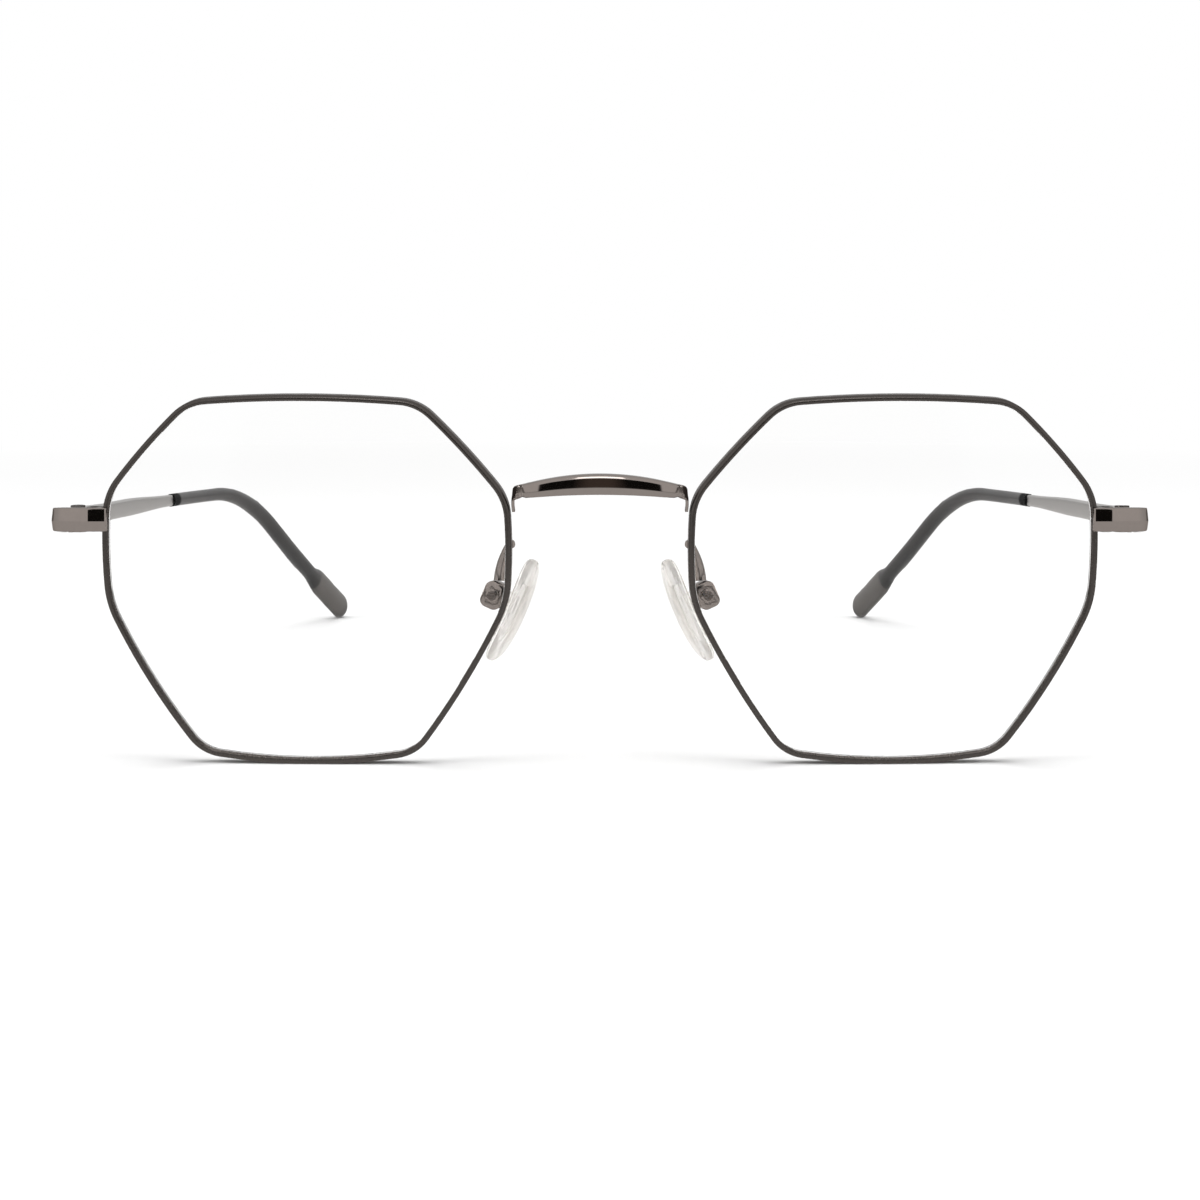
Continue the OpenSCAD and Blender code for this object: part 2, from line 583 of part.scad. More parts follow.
module hinge_front_leaf() color(polished) in_hinge() difference() {
    union() {
        knuckle(-barrel_h / 2, -barrel_h / 2 + outer_h, -1);
        knuckle(barrel_h / 2 - outer_h, barrel_h / 2, -1);
        leaf_plate(-1);
    }
    translate([0, 0, -barrel_h]) cylinder(r = hinge_screw_r + seat_clear, h = 2 * barrel_h);
}
module hinge_temple_leaf() color(steel) in_hinge() difference() {
    union() {
        knuckle(-mid_h / 2, mid_h / 2, 1);
        leaf_plate(1);
    }
    translate([0, 0, -barrel_h]) cylinder(r = hinge_screw_r + pin_clear, h = 2 * barrel_h);
}
module hinge_screw() color(steel) in_hinge() {
    head_h = 0.4;
    difference() {
        union() {
            translate([0, 0, -barrel_h / 2 + 0.1]) cylinder(r = hinge_screw_r, h = barrel_h);
            translate([0, 0, barrel_h / 2 + seat_clear]) cylinder(r = barrel_r * 0.88, h = head_h);
        }
        translate([-barrel_r, -0.13, barrel_h / 2 + seat_clear + head_h / 2])
            cube([2 * barrel_r, 0.26, head_h]);
    }
}

// Temples with their core wire, and the sleeves over it

function temple_half_h(s) = let (
    narrow = mouth_at - 0.6,
    wedge = mix(endpiece_h, temple_h, ease(s / wedge_len)))
    mix(wedge, neck_h, ease((s - narrow + neck_len) / neck_len)) / 2;
strip_stations = concat(
    [for (k = [0 : 14]) mix(butt_gap / 2, mouth_at - neck_len, k / 14)],
    [for (k = [1 : 6]) mouth_at - neck_len + (neck_len - 0.5) * k / 6]);

module temple() color(temple_grey) {
    strip = [for (s = strip_stations) temple_ring(s, bar(temple_t / 2, temple_half_h(s), 0.08))];
    core = [for (s = core_stations) temple_ring(s, bar(core_t / 2, core_h / 2, 0.02))];
    skin([for (r = concat(strip, [for (k = [0 : core_steps - 1]) core[k]])) flipped(r)]);
}

module temple_tip() color(sleeve_grey) {
    hole = [for (k = [core_steps : -1 : 0])
        temple_ring(core_stations[k], oval(core_t / 2 + 0.2, core_h / 2 + 0.12, 12))];
    skin([for (r = concat(hole, tip_outer)) flipped(r)]);
}

// Nose pads, in the frame of the pad screw: x away from the nose, y along the screw, z up the pad

module at_pad() in_front() translate([pad_screw_x, pad_screw_back, -pad_screw_drop])
    rotate([0, -pad_lean, 0]) rotate([0, 0, pad_splay]) children();

slot_w = 1.3;
slot_h = 2.7;
slot_depth = 1.15;
lug_w = 1.14;
lug_h = 2.2;
insert_t = 0.5;
insert_len = 7.5;
insert_w = 3.2;
screw_head_r = 0.85;
screw_head_h = 0.35;

module rounded_block(w, t, h, r) translate([0, t / 2, 0]) rotate([90, 0, 0]) linear_extrude(t) union() {
    translate([-w / 2 + r, -h / 2]) square([w - 2 * r, h]);
    translate([-w / 2, -h / 2 + r]) square([w, h - 2 * r]);
    for (x = [-1, 1]) for (z = [-1, 1]) translate([x * (w / 2 - r), z * (h / 2 - r)]) circle(r = r);
}

module pad_box() color(polished) at_pad() difference() {
    rounded_block(pad_box_w, pad_box_t, pad_box_h, 0.9);
    translate([-pad_box_w, -slot_w / 2, -slot_h / 2]) cube([pad_box_w + slot_depth, slot_w, slot_h]);
    translate([0, pad_box_t, 0]) rotate([90, 0, 0])
        cylinder(r = pad_screw_r + seat_clear, h = 2 * pad_box_t);
}
module pad_screw() color(steel) at_pad() difference() {
    union() {
        translate([0, pad_box_t / 2, 0]) rotate([90, 0, 0])
            cylinder(r = pad_screw_r, h = pad_box_t + 0.1);
        translate([0, -pad_box_t / 2 - seat_clear, 0]) rotate([90, 0, 0])
            cylinder(r = screw_head_r, h = screw_head_h);
    }
    translate([-screw_head_r, -pad_box_t / 2 - seat_clear - screw_head_h - 1, -0.12])
        cube([2 * screw_head_r, 1.18, 0.24]);
}
module pad_insert() color(steel) at_pad() difference() {
    union() {
        translate([-pad_reach - insert_t / 2, -insert_w / 2, -pad_offset - insert_len / 2])
            cube([insert_t, insert_w, insert_len]);
        translate([-pad_reach, -lug_w / 2, -lug_h / 2]) cube([pad_reach + 0.9, lug_w, lug_h]);
    }
    translate([0, lug_w, 0]) rotate([90, 0, 0]) cylinder(r = pad_screw_r + pin_clear, h = 2 * lug_w);
}
pad_points = 28;
// Size and place of the pad's loops, from its box side to its nose side
pad_profile = [for (a = [25, 42, 56, 70, 82, 90, 98, 110, 124, 138, 155])
    [pow(sin(a), 0.52), sign(cos(a)) * pow(abs(cos(a)), 0.52) / 2]];
// Sine or cosine drawn out for an oval with fuller corners
function fuller(a) = sign(a) * pow(abs(a), 0.66);
// A loop of the pad, k times its full outline, x through its thickness: an oval, wider at the bottom
function pad_loop(k, x) = [for (i = [0 : pad_points - 1])
    let (t = 360 * i / pad_points, z = fuller(sin(t)) * k)
    [x + pad_curl * z * z, fuller(cos(t)) * (1 - 0.1 * sin(t)) * k * pad_w / 2, z * pad_len / 2]];
pad_curl = 0.5;

module nose_pad() color(silicone) at_pad() difference() {
    translate([-pad_reach, 0, -pad_offset])
        shell([pad_t / 2, 0, 0], [for (q = pad_profile) pad_loop(q[0], q[1] * pad_t)],
            [-pad_t / 2, 0, 0]);
    translate([-pad_reach - insert_t / 2 - seat_clear, -insert_w / 2 - seat_clear,
        -pad_offset - insert_len / 2 - seat_clear])
        cube([insert_t + 2 * seat_clear, insert_w + 2 * seat_clear, insert_len + 2 * seat_clear]);
    translate([-pad_reach, -lug_w / 2 - seat_clear, -lug_h / 2 - seat_clear])
        cube([pad_reach, lug_w + 2 * seat_clear, lug_h + 2 * seat_clear]);
}

// Wire from the back of the rim's nose side, round behind the rim and down to the pad box
arm_root_z = 4.3;
arm_back = sag([half_w + rim_out, arm_root_z]) + rim_depth / 2;
arm_rim = lens_to_front([-half_w - rim_out, arm_back, arm_root_z]);
arm_root = [arm_rim[0] + 0.15, arm_rim[1] + 2.5 * seat_clear, arm_root_z];
arm_end = [pad_screw_x - 0.55, pad_screw_back - 0.3, -pad_screw_drop + pad_box_h / 2 + 0.15];
arm_path = [arm_root, arm_root + [0, 2.6, 0.4], arm_end + [-0.35, 0.5, 3.4], arm_end];
arm_steps = 16;
function arm_heading(t) = unit(bezier(arm_path, min(1, t + 0.01)) - bezier(arm_path, max(0, t - 0.01)));
module pad_arm() color(polished) in_front() skin([for (k = [0 : arm_steps])
    let (t = k / arm_steps, d = arm_heading(t), u = unit(cross(d, [1, 0, 0])), v = cross(d, u))
    ring(bezier(arm_path, t), u, v, oval(pad_arm_r, pad_arm_r, 8))]);

module left_rim() left() rim();
module right_rim() right() rim();
module left_lens() left() lens();
module right_lens() right() lens();
module left_endpiece() left() endpiece();
module right_endpiece() right() endpiece();
module left_rim_lock_upper() left() rim_lock_upper();
module right_rim_lock_upper() right() rim_lock_upper();
module left_rim_lock_lower() left() rim_lock_lower();
module right_rim_lock_lower() right() rim_lock_lower();
module left_rim_lock_screw() left() rim_lock_screw();
module right_rim_lock_screw() right() rim_lock_screw();
module left_hinge_front_leaf() left() hinge_front_leaf();
module right_hinge_front_leaf() right() hinge_front_leaf();
module left_hinge_temple_leaf() left() hinge_temple_leaf();
module right_hinge_temple_leaf() right() hinge_temple_leaf();
module left_hinge_screw() left() hinge_screw();
module right_hinge_screw() right() hinge_screw();
module left_temple() left() temple();
module right_temple() right() temple();
module left_temple_tip() left() temple_tip();
module right_temple_tip() right() temple_tip();
module left_pad_arm() left() pad_arm();
module right_pad_arm() right() pad_arm();
module left_pad_box() left() pad_box();
module right_pad_box() right() pad_box();
module left_pad_screw() left() pad_screw();
module right_pad_screw() right() pad_screw();
module left_nose_pad() left() nose_pad();
module right_nose_pad() right() nose_pad();
module left_pad_insert() left() pad_insert();
module right_pad_insert() right() pad_insert();

bridge();
left_rim();
right_rim();
left_lens();
right_lens();
left_endpiece();
right_endpiece();
left_rim_lock_upper();
right_rim_lock_upper();
left_rim_lock_lower();
right_rim_lock_lower();
left_rim_lock_screw();
right_rim_lock_screw();
left_hinge_front_leaf();
right_hinge_front_leaf();
left_hinge_temple_leaf();
right_hinge_temple_leaf();
left_hinge_screw();
right_hinge_screw();
left_temple();
right_temple();
left_temple_tip();
right_temple_tip();
left_pad_arm();
right_pad_arm();
left_pad_box();
right_pad_box();
left_pad_screw();
right_pad_screw();
left_nose_pad();
right_nose_pad();
left_pad_insert();
right_pad_insert();
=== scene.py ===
"""Eight-sided metal eyeglasses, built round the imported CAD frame.

Sizes in the classes are millimetres, and every mesh is written in metres. The front faces -Y, the
temples run back along +Y, and the wearer's left is +X. The glasses stand on z = 0.
"""

import json
import logging
import math
from dataclasses import dataclass, field
from enum import Enum
from typing import Sequence

import bmesh
import bpy
import numpy as np
from mathutils import Euler, Matrix, Vector


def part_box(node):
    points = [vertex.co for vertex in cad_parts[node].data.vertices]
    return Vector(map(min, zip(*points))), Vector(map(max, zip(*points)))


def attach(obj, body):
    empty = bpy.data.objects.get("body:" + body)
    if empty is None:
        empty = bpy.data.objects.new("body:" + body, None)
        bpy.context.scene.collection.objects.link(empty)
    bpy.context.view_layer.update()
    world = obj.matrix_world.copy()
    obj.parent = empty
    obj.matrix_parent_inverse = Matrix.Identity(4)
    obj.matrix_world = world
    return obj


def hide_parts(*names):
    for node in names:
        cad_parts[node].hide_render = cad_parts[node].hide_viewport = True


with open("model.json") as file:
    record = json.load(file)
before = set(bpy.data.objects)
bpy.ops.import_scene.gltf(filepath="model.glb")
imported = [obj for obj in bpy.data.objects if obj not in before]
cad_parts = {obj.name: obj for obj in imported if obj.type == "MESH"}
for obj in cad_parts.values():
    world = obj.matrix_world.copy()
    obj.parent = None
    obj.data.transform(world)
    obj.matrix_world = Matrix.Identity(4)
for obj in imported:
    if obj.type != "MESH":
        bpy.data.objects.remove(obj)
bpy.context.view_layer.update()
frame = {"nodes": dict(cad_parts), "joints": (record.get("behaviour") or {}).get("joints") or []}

LOG = logging.getLogger("eyeglasses")
MM = 0.001
# Metres under which two points are one
MERGE_DISTANCE = 1e-7
# Metres that the full height of a bump stands for
BUMP_DISTANCE = 2e-5
# Least u of a station that keeps its whole section
WHOLE_SECTION = -1e3
Point2 = tuple[float, float]
Colour = tuple[float, float, float]
Socket = bpy.types.NodeSocket


class Side(Enum):
    """The wearer's side that a piece belongs to."""

    LEFT = "left"
    RIGHT = "right"

    def name_of(self, piece: str) -> str:
        """Name of this side's piece."""
        return f"{self.value}_{piece}"

    @property
    def sign(self) -> float:
        """+1 for the wearer's left, -1 for the right."""
        return 1.0 if self is Side.LEFT else -1.0


class Slot(Enum):
    """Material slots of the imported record."""

    GUNMETAL = "gunmetal"
    POLISHED = "polished"
    TEMPLE = "temple_metal"
    STEEL = "steel"
    LENS = "lens"
    SLEEVE = "sleeve"
    CLEAR_CORE = "clear_core"
    SILICONE = "silicone"


# Small rules of shape, the same as the solids follow


def mix(a: float, b: float, t: float) -> float:
    """Value between a and b."""
    return a + (b - a) * t


def ease(t: float) -> float:
    """Smooth step from 0 to 1."""
    c = min(1.0, max(0.0, t))
    return c * c * (3 - 2 * c)


def bezier(points: Sequence[np.ndarray], t: float) -> np.ndarray:
    """Point of a cubic curve with four control points."""
    a, b, c, d = (np.asarray(p, float) for p in points)
    return (1 - t) ** 3 * a + 3 * t * (1 - t) ** 2 * b + 3 * t * t * (1 - t) * c + t**3 * d


def unit(v: np.ndarray) -> np.ndarray:
    """Vector of length one."""
    return v / np.linalg.norm(v)


# Shader helpers and shared node groups


def opaque(colour: Colour) -> tuple[float, float, float, float]:
    """A colour with full alpha."""
    return (*colour, 1.0)


def grey(value: float) -> tuple[float, float, float, float]:
    """A neutral colour with full alpha."""
    return value, value, value, 1.0


class NodeTree:
    """A thin wrapper that places and links nodes in one tree."""

    def __init__(self, tree: bpy.types.NodeTree) -> None:
        """Keeps the tree to build in."""
        self.tree = tree

    def add(self, kind: str, **settings: object) -> bpy.types.Node:
        """Adds a node.

        Args:
            kind: The node's type name.
            settings: Properties of the node, set by name.

        Returns:
            The new node.
        """
        node = self.tree.nodes.new(kind)
        for key, value in settings.items():
            setattr(node, key, value)
        return node

    def link(self, source: Socket, target: Socket) -> None:
        """Joins an output to an input."""
        self.tree.links.new(source, target)

    def give(self, target: Socket, value: object) -> None:
        """Links an input to an output, or sets its value."""
        if isinstance(value, bpy.types.NodeSocket):
            self.link(value, target)
        else:
            target.default_value = value

    def feed(self, node: bpy.types.Node, **values: object) -> bpy.types.Node:
        """Sets or links inputs by name, with underscores for blanks."""
        for key, value in values.items():
            self.give(node.inputs[key.replace("_", " ")], value)
        return node

    def math(self, operation: str, a: object, b: object = 0.0, clamp: bool = False) -> Socket:
        """Adds a Math node and gives its value."""
        node = self.add("ShaderNodeMath", operation=operation, use_clamp=clamp)
        self.give(node.inputs[0], a)
        self.give(node.inputs[1], b)
        return node.outputs[0]

    def vector(self, operation: str, a: object, b: object) -> Socket:
        """Adds a Vector Math node and gives its vector."""
        node = self.add("ShaderNodeVectorMath", operation=operation)
        self.give(node.inputs[0], a)
        self.give(node.inputs["Scale"] if operation == "SCALE" else node.inputs[1], b)
        return node.outputs[0]

    def ranged(self, value: Socket, low: object, high: object,
               start: object = 0.0, end: object = 1.0) -> Socket:
        """Maps a value from start..end to low..high."""
        node = self.add("ShaderNodeMapRange")
        self.feed(node, Value=value, From_Min=start, From_Max=end, To_Min=low, To_Max=high)
        return node.outputs[0]

    def blend(self, factor: object, a: object, b: object) -> Socket:
        """Mixes two colours and gives the result."""
        node = self.add("ShaderNodeMix", data_type="RGBA")
        for index, value in ((0, factor), (6, a), (7, b)):
            self.give(node.inputs[index], value)
        return node.outputs[2]

    def place(self) -> Socket:
        """Place on the object, in its own frame."""
        return self.add("ShaderNodeTexCoord").outputs["Object"]

    def mapped(self, **values: object) -> Socket:
        """Place on the object, turned or stretched."""
        return self.feed(self.add("ShaderNodeMapping"), Vector=self.place(), **values).outputs[0]

    def noise(self, place: Socket, scale: object, detail: float, **more: float) -> Socket:
        """Adds a Noise Texture and gives its value."""
        node = self.add("ShaderNodeTexNoise")
        return self.feed(node, Vector=place, Scale=scale, Detail=detail, **more).outputs[0]

    def attribute(self, name: str) -> Socket:
        """Value of a mesh attribute in a shader."""
        return self.add("ShaderNodeAttribute", attribute_name=name).outputs["Fac"]

    def bump(self, shader: bpy.types.Node, strength: float, height: Socket) -> None:
        """Gives a shader a fine bump."""
        node = self.add("ShaderNodeBump")
        self.feed(node, Strength=strength, Distance=BUMP_DISTANCE, Height=height)
        self.link(node.outputs[0], shader.inputs["Normal"])

    def mix_shaders(self, share: Socket, first: bpy.types.Node, second: bpy.types.Node) -> None:
        """Mixes two shaders and sends the result to the surface."""
        both = self.add("ShaderNodeMixShader")
        for target, source in zip(both.inputs, (share, first.outputs[0], second.outputs[0])):
            self.link(source, target)
        self.link(both.outputs[0], self.tree.nodes["Material Output"].inputs["Surface"])

    def ray_kinds(self) -> tuple[Socket, Socket]:
        """Whether the camera or glass sent a ray, and whether gloss did."""
        path = self.add("ShaderNodeLightPath")
        seen = self.math("ADD", path.outputs["Is Camera Ray"], path.outputs["Is Transmission Ray"],
                         clamp=True)
        return seen, self.math("MULTIPLY", path.outputs["Glossy Depth"], 1.0, clamp=True)


def new_group(name: str, inputs: dict[str, float],
              output: str) -> tuple[NodeTree, bpy.types.Node, bpy.types.Node]:
    """Makes an empty shader group with float sockets.

    Args:
        name: The group's name.
        inputs: Names and default values of the inputs.
        output: Name of the output.

    Returns:
        The group's nodes, its input node and its output node.
    """
    tree = bpy.data.node_groups.new(name, "ShaderNodeTree")
    for key, value in inputs.items():
        made = tree.interface.new_socket(key, in_out="INPUT", socket_type="NodeSocketFloat")
        made.default_value = value
    tree.interface.new_socket(output, in_out="OUTPUT", socket_type="NodeSocketFloat")
    kit = NodeTree(tree)
    return kit, kit.add("NodeGroupInput"), kit.add("NodeGroupOutput")


def make_grain_group() -> bpy.types.NodeTree:
    """Fine lengthwise grain of a brushed or moulded surface, as one value round 0.5."""
    kit, given, result = new_group("fine_grain", {"Scale": 900.0, "Stretch": 0.08}, "Grain")
    stretch = kit.add("ShaderNodeCombineXYZ")
    kit.feed(stretch, X=1.0, Y=given.outputs["Stretch"], Z=1.0)
    mapped = kit.mapped(Scale=stretch.outputs[0])
    kit.link(kit.noise(mapped, given.outputs["Scale"], 3.0, Roughness=0.6), result.inputs["Grain"])
    return kit.tree


def make_handling_group() -> bpy.types.NodeTree:
    """Faint marks of handling, as one value from 0 to 1: soft patches and a few short rubs."""
    kit, given, result = new_group("handling_marks", {"Patch Scale": 180.0, "Rub Scale": 420.0},
                                   "Marks")
    patch = kit.noise(kit.place(), given.outputs["Patch Scale"], 2.0)
    turned = kit.mapped(Rotation=(0.4, 0.9, 0.3), Scale=(1.0, 0.05, 1.0))
    rub = kit.noise(turned, given.outputs["Rub Scale"], 1.0)
    patches = kit.ranged(patch, 0.0, 0.7, 0.45, 0.75)
    rubs = kit.ranged(rub, 0.0, 0.6, 0.68, 0.8)
    kit.link(kit.math("ADD", patches, rubs, clamp=True), result.inputs["Marks"])
    return kit.tree


def make_edge_group() -> bpy.types.NodeTree:
    """Mask of the edges that handling has brightened, from how sharply the surface turns."""
    kit, given, result = new_group("edge_wear", {"Start": 0.52, "End": 0.6, "Break Up": 0.35},
                                   "Mask")
    shape = kit.add("ShaderNodeNewGeometry")
    turned = kit.ranged(shape.outputs["Pointiness"], 0.0, 1.0, given.outputs["Start"],
                        given.outputs["End"])
    broken = kit.math("MULTIPLY", kit.noise(kit.place(), 700.0, 2.0), given.outputs["Break Up"])
    kit.link(kit.math("SUBTRACT", turned, broken, clamp=True), result.inputs["Mask"])
    return kit.tree


class Groups:
    """The shader groups that the finishes share, each built once."""

    def __init__(self) -> None:
        """Builds the three groups."""
        self.grain = make_grain_group()
        self.handling = make_handling_group()
        self.edges = make_edge_group()


def start_material(name: str) -> tuple[bpy.types.Material, NodeTree, bpy.types.Node]:
    """Makes a material with one Principled shader.

    Args:
        name: The material's name.

    Returns:
        The material, its nodes and the shader node.
    """
    material = bpy.data.materials.new(name)
    material.use_nodes = True
    kit = NodeTree(material.node_tree)
    return material, kit, material.node_tree.nodes["Principled BSDF"]


def use_group(kit: NodeTree, group: bpy.types.NodeTree, **values: float) -> Socket:
    """Places a shared group with its own values and gives its first output."""
    return kit.feed(kit.add("ShaderNodeGroup", node_tree=group), **values).outputs[0]


@dataclass(frozen=True)
class PlatedMetal:
    """Plated metal with grain, edges brightened by wear and faint handling marks."""

    name: str
    colour: Colour
    worn: Colour
    roughness: float
    grain_depth: float
    grain_scale: float = 1400.0
    grain_stretch: float = 0.08
    spread: float = 0.06
    wear: float = 0.3
    grazing: Colour = (0.55, 0.53, 0.52)
    shades: tuple[float, float] = (0.94, 1.06)
    grain_band: tuple[float, float] = (0.25, 0.75)

    def build(self, groups: Groups) -> bpy.types.Material:
        """Makes the material."""
        material, kit, shader = start_material(self.name)
        grain = use_group(kit, groups.grain, Scale=self.grain_scale, Stretch=self.grain_stretch)
        marks = use_group(kit, groups.handling)
        edges = use_group(kit, groups.edges)
        worn = kit.blend(kit.math("MULTIPLY", edges, self.wear), opaque(self.colour),
                         opaque(self.worn))
        toned = kit.vector("SCALE", worn, kit.ranged(grain, *self.shades))
        rough = kit.ranged(grain, self.roughness - self.spread, self.roughness + self.spread,
                           *self.grain_band)
        kit.feed(shader, Base_Color=toned, Metallic=1.0, Specular_Tint=opaque(self.grazing),
                 Roughness=kit.math("ADD", rough, kit.math("MULTIPLY", marks, self.spread)))
        kit.bump(shader, self.grain_depth, grain)
        return material


@dataclass(frozen=True)
class ClearLens:
    """Clear demonstration lens with a faint film of handling."""

    name: str = "clear_lens"
    tint: Colour = (0.995, 0.996, 0.995)
    ior: float = 1.5
    film: Colour = (0.1, 0.11, 0.12)
    gloss: tuple[float, float] = (0.0, 0.012)

    def build(self, groups: Groups) -> bpy.types.Material:
        """Makes the material, which lets the lamps through to what lies behind."""
        material, kit, shader = start_material(self.name)
        marks = use_group(kit, groups.handling, Patch_Scale=90.0)
        kit.feed(shader, Base_Color=opaque(self.tint), IOR=self.ior, Transmission_Weight=1.0,
                 Specular_Tint=opaque(self.film), Roughness=kit.ranged(marks, *self.gloss))
        clear_for_lamps(kit, shader, self.tint)
        return material


@dataclass(frozen=True)
class SmokedSleeve:
    """Dark acetate, half matt with faint rubbing, and lighter in the paddle beyond the core.

    Its bands are shares of the way along the temple; the one at the mouth is painted shade.
    """

    name: str = "smoked_sleeve"
    colour: Colour = (0.03, 0.028, 0.027)
    paddle: Colour = (0.0873077, 0.0798462, 0.0730769)
    tip: Colour = (0.008, 0.007, 0.006)
    # Painted shade: nearly black in a band at the sleeve's mouth, where the hole lies in shade
    mouth: Colour = (0.004, 0.004, 0.004)
    mouth_shade_band: tuple[float, float] = (0.466, 0.475)
    core_band: tuple[float, float] = (0.909, 0.913)
    tip_band: tuple[float, float] = (0.984, 0.999)
    gloss: tuple[float, float] = (0.3, 0.4)
    mouth_shade_roughness: float = 0.95

    def build(self, groups: Groups) -> bpy.types.Material:
        """Makes the material, dark as far as the core reaches and lighter beyond it, with painted
        shade at the mouth.
        """
        material, kit, shader = start_material(self.name)
        marks = use_group(kit, groups.handling, Patch_Scale=120.0)
        along = kit.attribute("along")
        clear = kit.blend(kit.ranged(along, 0.0, 1.0, *self.tip_band), opaque(self.paddle),
                          opaque(self.tip))
        colour = kit.blend(kit.ranged(along, 0.0, 1.0, *self.core_band), opaque(self.colour), clear)
        # Painted shade at the mouth: nearly black and rough so that it hardly shines, fading out
        # over the band
        inside = kit.ranged(along, 1.0, 0.0, *self.mouth_shade_band)
        colour = kit.blend(inside, colour, opaque(self.mouth))
        rough = kit.math("MAXIMUM", kit.ranged(marks, *self.gloss),
                         kit.ranged(inside, 0.0, self.mouth_shade_roughness))
        kit.feed(shader, Base_Color=colour, IOR=1.49, Transmission_Weight=0.08,
                 Specular_IOR_Level=0.2, Roughness=rough)
        return material


@dataclass(frozen=True)
class ClearSilicone:
    """Clear soft silicone with a warm cast, painted shade towards its edges and a slightly clouded
    skin.
    """

    name: str = "clear_silicone"
    colour: Colour = (0.95, 0.945, 0.935)
    # Painted shade: darker and warmer colour where the surface turns away from the view
    rim: Colour = (0.68, 0.64, 0.58)
    clearness: float = 0.84
    shine: float = 0.6
    gloss: tuple[float, float] = (0.08, 0.16)
    grain_depth: float = 0.04

    def build(self, groups: Groups) -> bpy.types.Material:
        """Makes the material, which lets the lamps through to what lies behind."""
        material, kit, shader = start_material(self.name)
        marks = use_group(kit, groups.handling, Patch_Scale=300.0)
        grain = use_group(kit, groups.grain, Scale=800.0, Stretch=1.0)
        # Painted shade at the edges, blended in by how far the surface faces away from the view
        slope = kit.feed(kit.add("ShaderNodeLayerWeight"), Blend=0.35)
        colour = kit.blend(slope.outputs["Facing"], opaque(self.colour), opaque(self.rim))
        kit.feed(shader, Base_Color=colour, IOR=1.41, Transmission_Weight=self.clearness,
                 Specular_Tint=grey(self.shine), Roughness=kit.ranged(marks, *self.gloss))
        kit.bump(shader, self.grain_depth, grain)
        clear_for_lamps(kit, shader, self.colour)
        return material


def clear_for_lamps(kit: NodeTree, shader: bpy.types.Node, tint: Colour) -> None:
    """Lets light from the lamps pass straight through a clear material.

    Args:
        kit: The material's nodes.
        shader: Its Principled shader.
        tint: Colour that the light keeps on its way through.
    """
    path = kit.add("ShaderNodeLightPath")
    through = kit.feed(kit.add("ShaderNodeBsdfTransparent"), Color=opaque(tint))
    kit.mix_shaders(path.outputs["Is Shadow Ray"], shader, through)


class Finishes:
    """Every finish of the glasses, by its slot in the record."""

    def __init__(self) -> None:
        """Builds the shared groups, then each material."""
        groups = Groups()
        recipes = {
            Slot.GUNMETAL: PlatedMetal(
                "gunmetal_plating", colour=(0.084, 0.076, 0.071), worn=(0.125, 0.115, 0.108),
                roughness=0.26, grain_depth=0.01, wear=0.12),
            Slot.POLISHED: PlatedMetal(
                "polished_plating", colour=(0.272, 0.24, 0.222), worn=(0.34, 0.31, 0.295),
                roughness=0.07, grain_depth=0.04, spread=0.02, wear=0.15),
            Slot.TEMPLE: PlatedMetal(
                "satin_temple", colour=(0.47, 0.462, 0.455), worn=(0.51, 0.5, 0.495),
                roughness=0.34, grain_depth=0.12, grain_scale=2200.0, grain_stretch=0.03,
                grazing=(0.92, 0.91, 0.9)),
            Slot.STEEL: PlatedMetal(
                "turned_steel", colour=(0.4, 0.39, 0.38), worn=(0.5, 0.49, 0.48),
                roughness=0.18, grain_depth=0.1, spread=0.04),
            Slot.LENS: ClearLens(),
            Slot.SLEEVE: SmokedSleeve(),
            Slot.CLEAR_CORE: ClearSilicone("clear_core_plastic", (0.96, 0.955, 0.94)),
            Slot.SILICONE: ClearSilicone(),
        }
        self.materials = {slot: recipe.build(groups) for slot, recipe in recipes.items()}

    def __getitem__(self, slot: Slot) -> bpy.types.Material:
        """Material of a slot."""
        return self.materials[slot]


# Mesh helpers


def evaluated_mesh(piece: bpy.types.Object) -> bpy.types.Mesh:
    """Mesh of a piece with its modifiers worked in."""
    bpy.context.view_layer.update()
    graph = bpy.context.evaluated_depsgraph_get()
    return bpy.data.meshes.new_from_object(
        piece.evaluated_get(graph), preserve_all_data_layers=True, depsgraph=graph)


def settle(piece: bpy.types.Object) -> bpy.types.Object:
    """Works a piece's modifiers into its mesh and removes them."""
    mesh = evaluated_mesh(piece)
    piece.modifiers.clear()
    piece.data = mesh
    mesh.name = piece.name
    return piece


def new_piece(name: str, mesh: bpy.types.Mesh) -> bpy.types.Object:
    """Adds an object for a mesh to the scene."""
    piece = bpy.data.objects.new(name, mesh)
    bpy.context.scene.collection.objects.link(piece)
    return piece


def tidy_mesh(mesh: bpy.types.Mesh, merge: float = MERGE_DISTANCE,
              sharp_angle: float = 35.0) -> None:
    """Merges doubled points, turns faces outwards and shades by angle.

    Args:
        mesh: The mesh to change.
        merge: Distance under which points are one, in metres.
        sharp_angle: Angle in degrees past which an edge stays sharp.
    """
    work = bmesh.new()
    work.from_mesh(mesh)
    bmesh.ops.remove_doubles(work, verts=work.verts, dist=merge)
    bmesh.ops.recalc_face_normals(work, faces=work.faces)
    for face in work.faces:
        face.smooth = True
    work.to_mesh(mesh)
    work.free()
    mesh.set_sharp_from_angle(angle=math.radians(sharp_angle))


def dress(piece: bpy.types.Object, slot: Slot, body: str, replaced: str,
          finishes: Finishes) -> bpy.types.Object:
    """Gives a finished piece the material of its slot and its body, and hides the node that it
    stands for.
    """
    piece.data.materials.clear()
    piece.data.materials.append(finishes[slot])
    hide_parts(replaced)
    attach(piece, body)
    LOG.info("%s: %d faces, rides %s, stands for %s", piece.name, len(piece.data.polygons), body,
             replaced)
    return piece


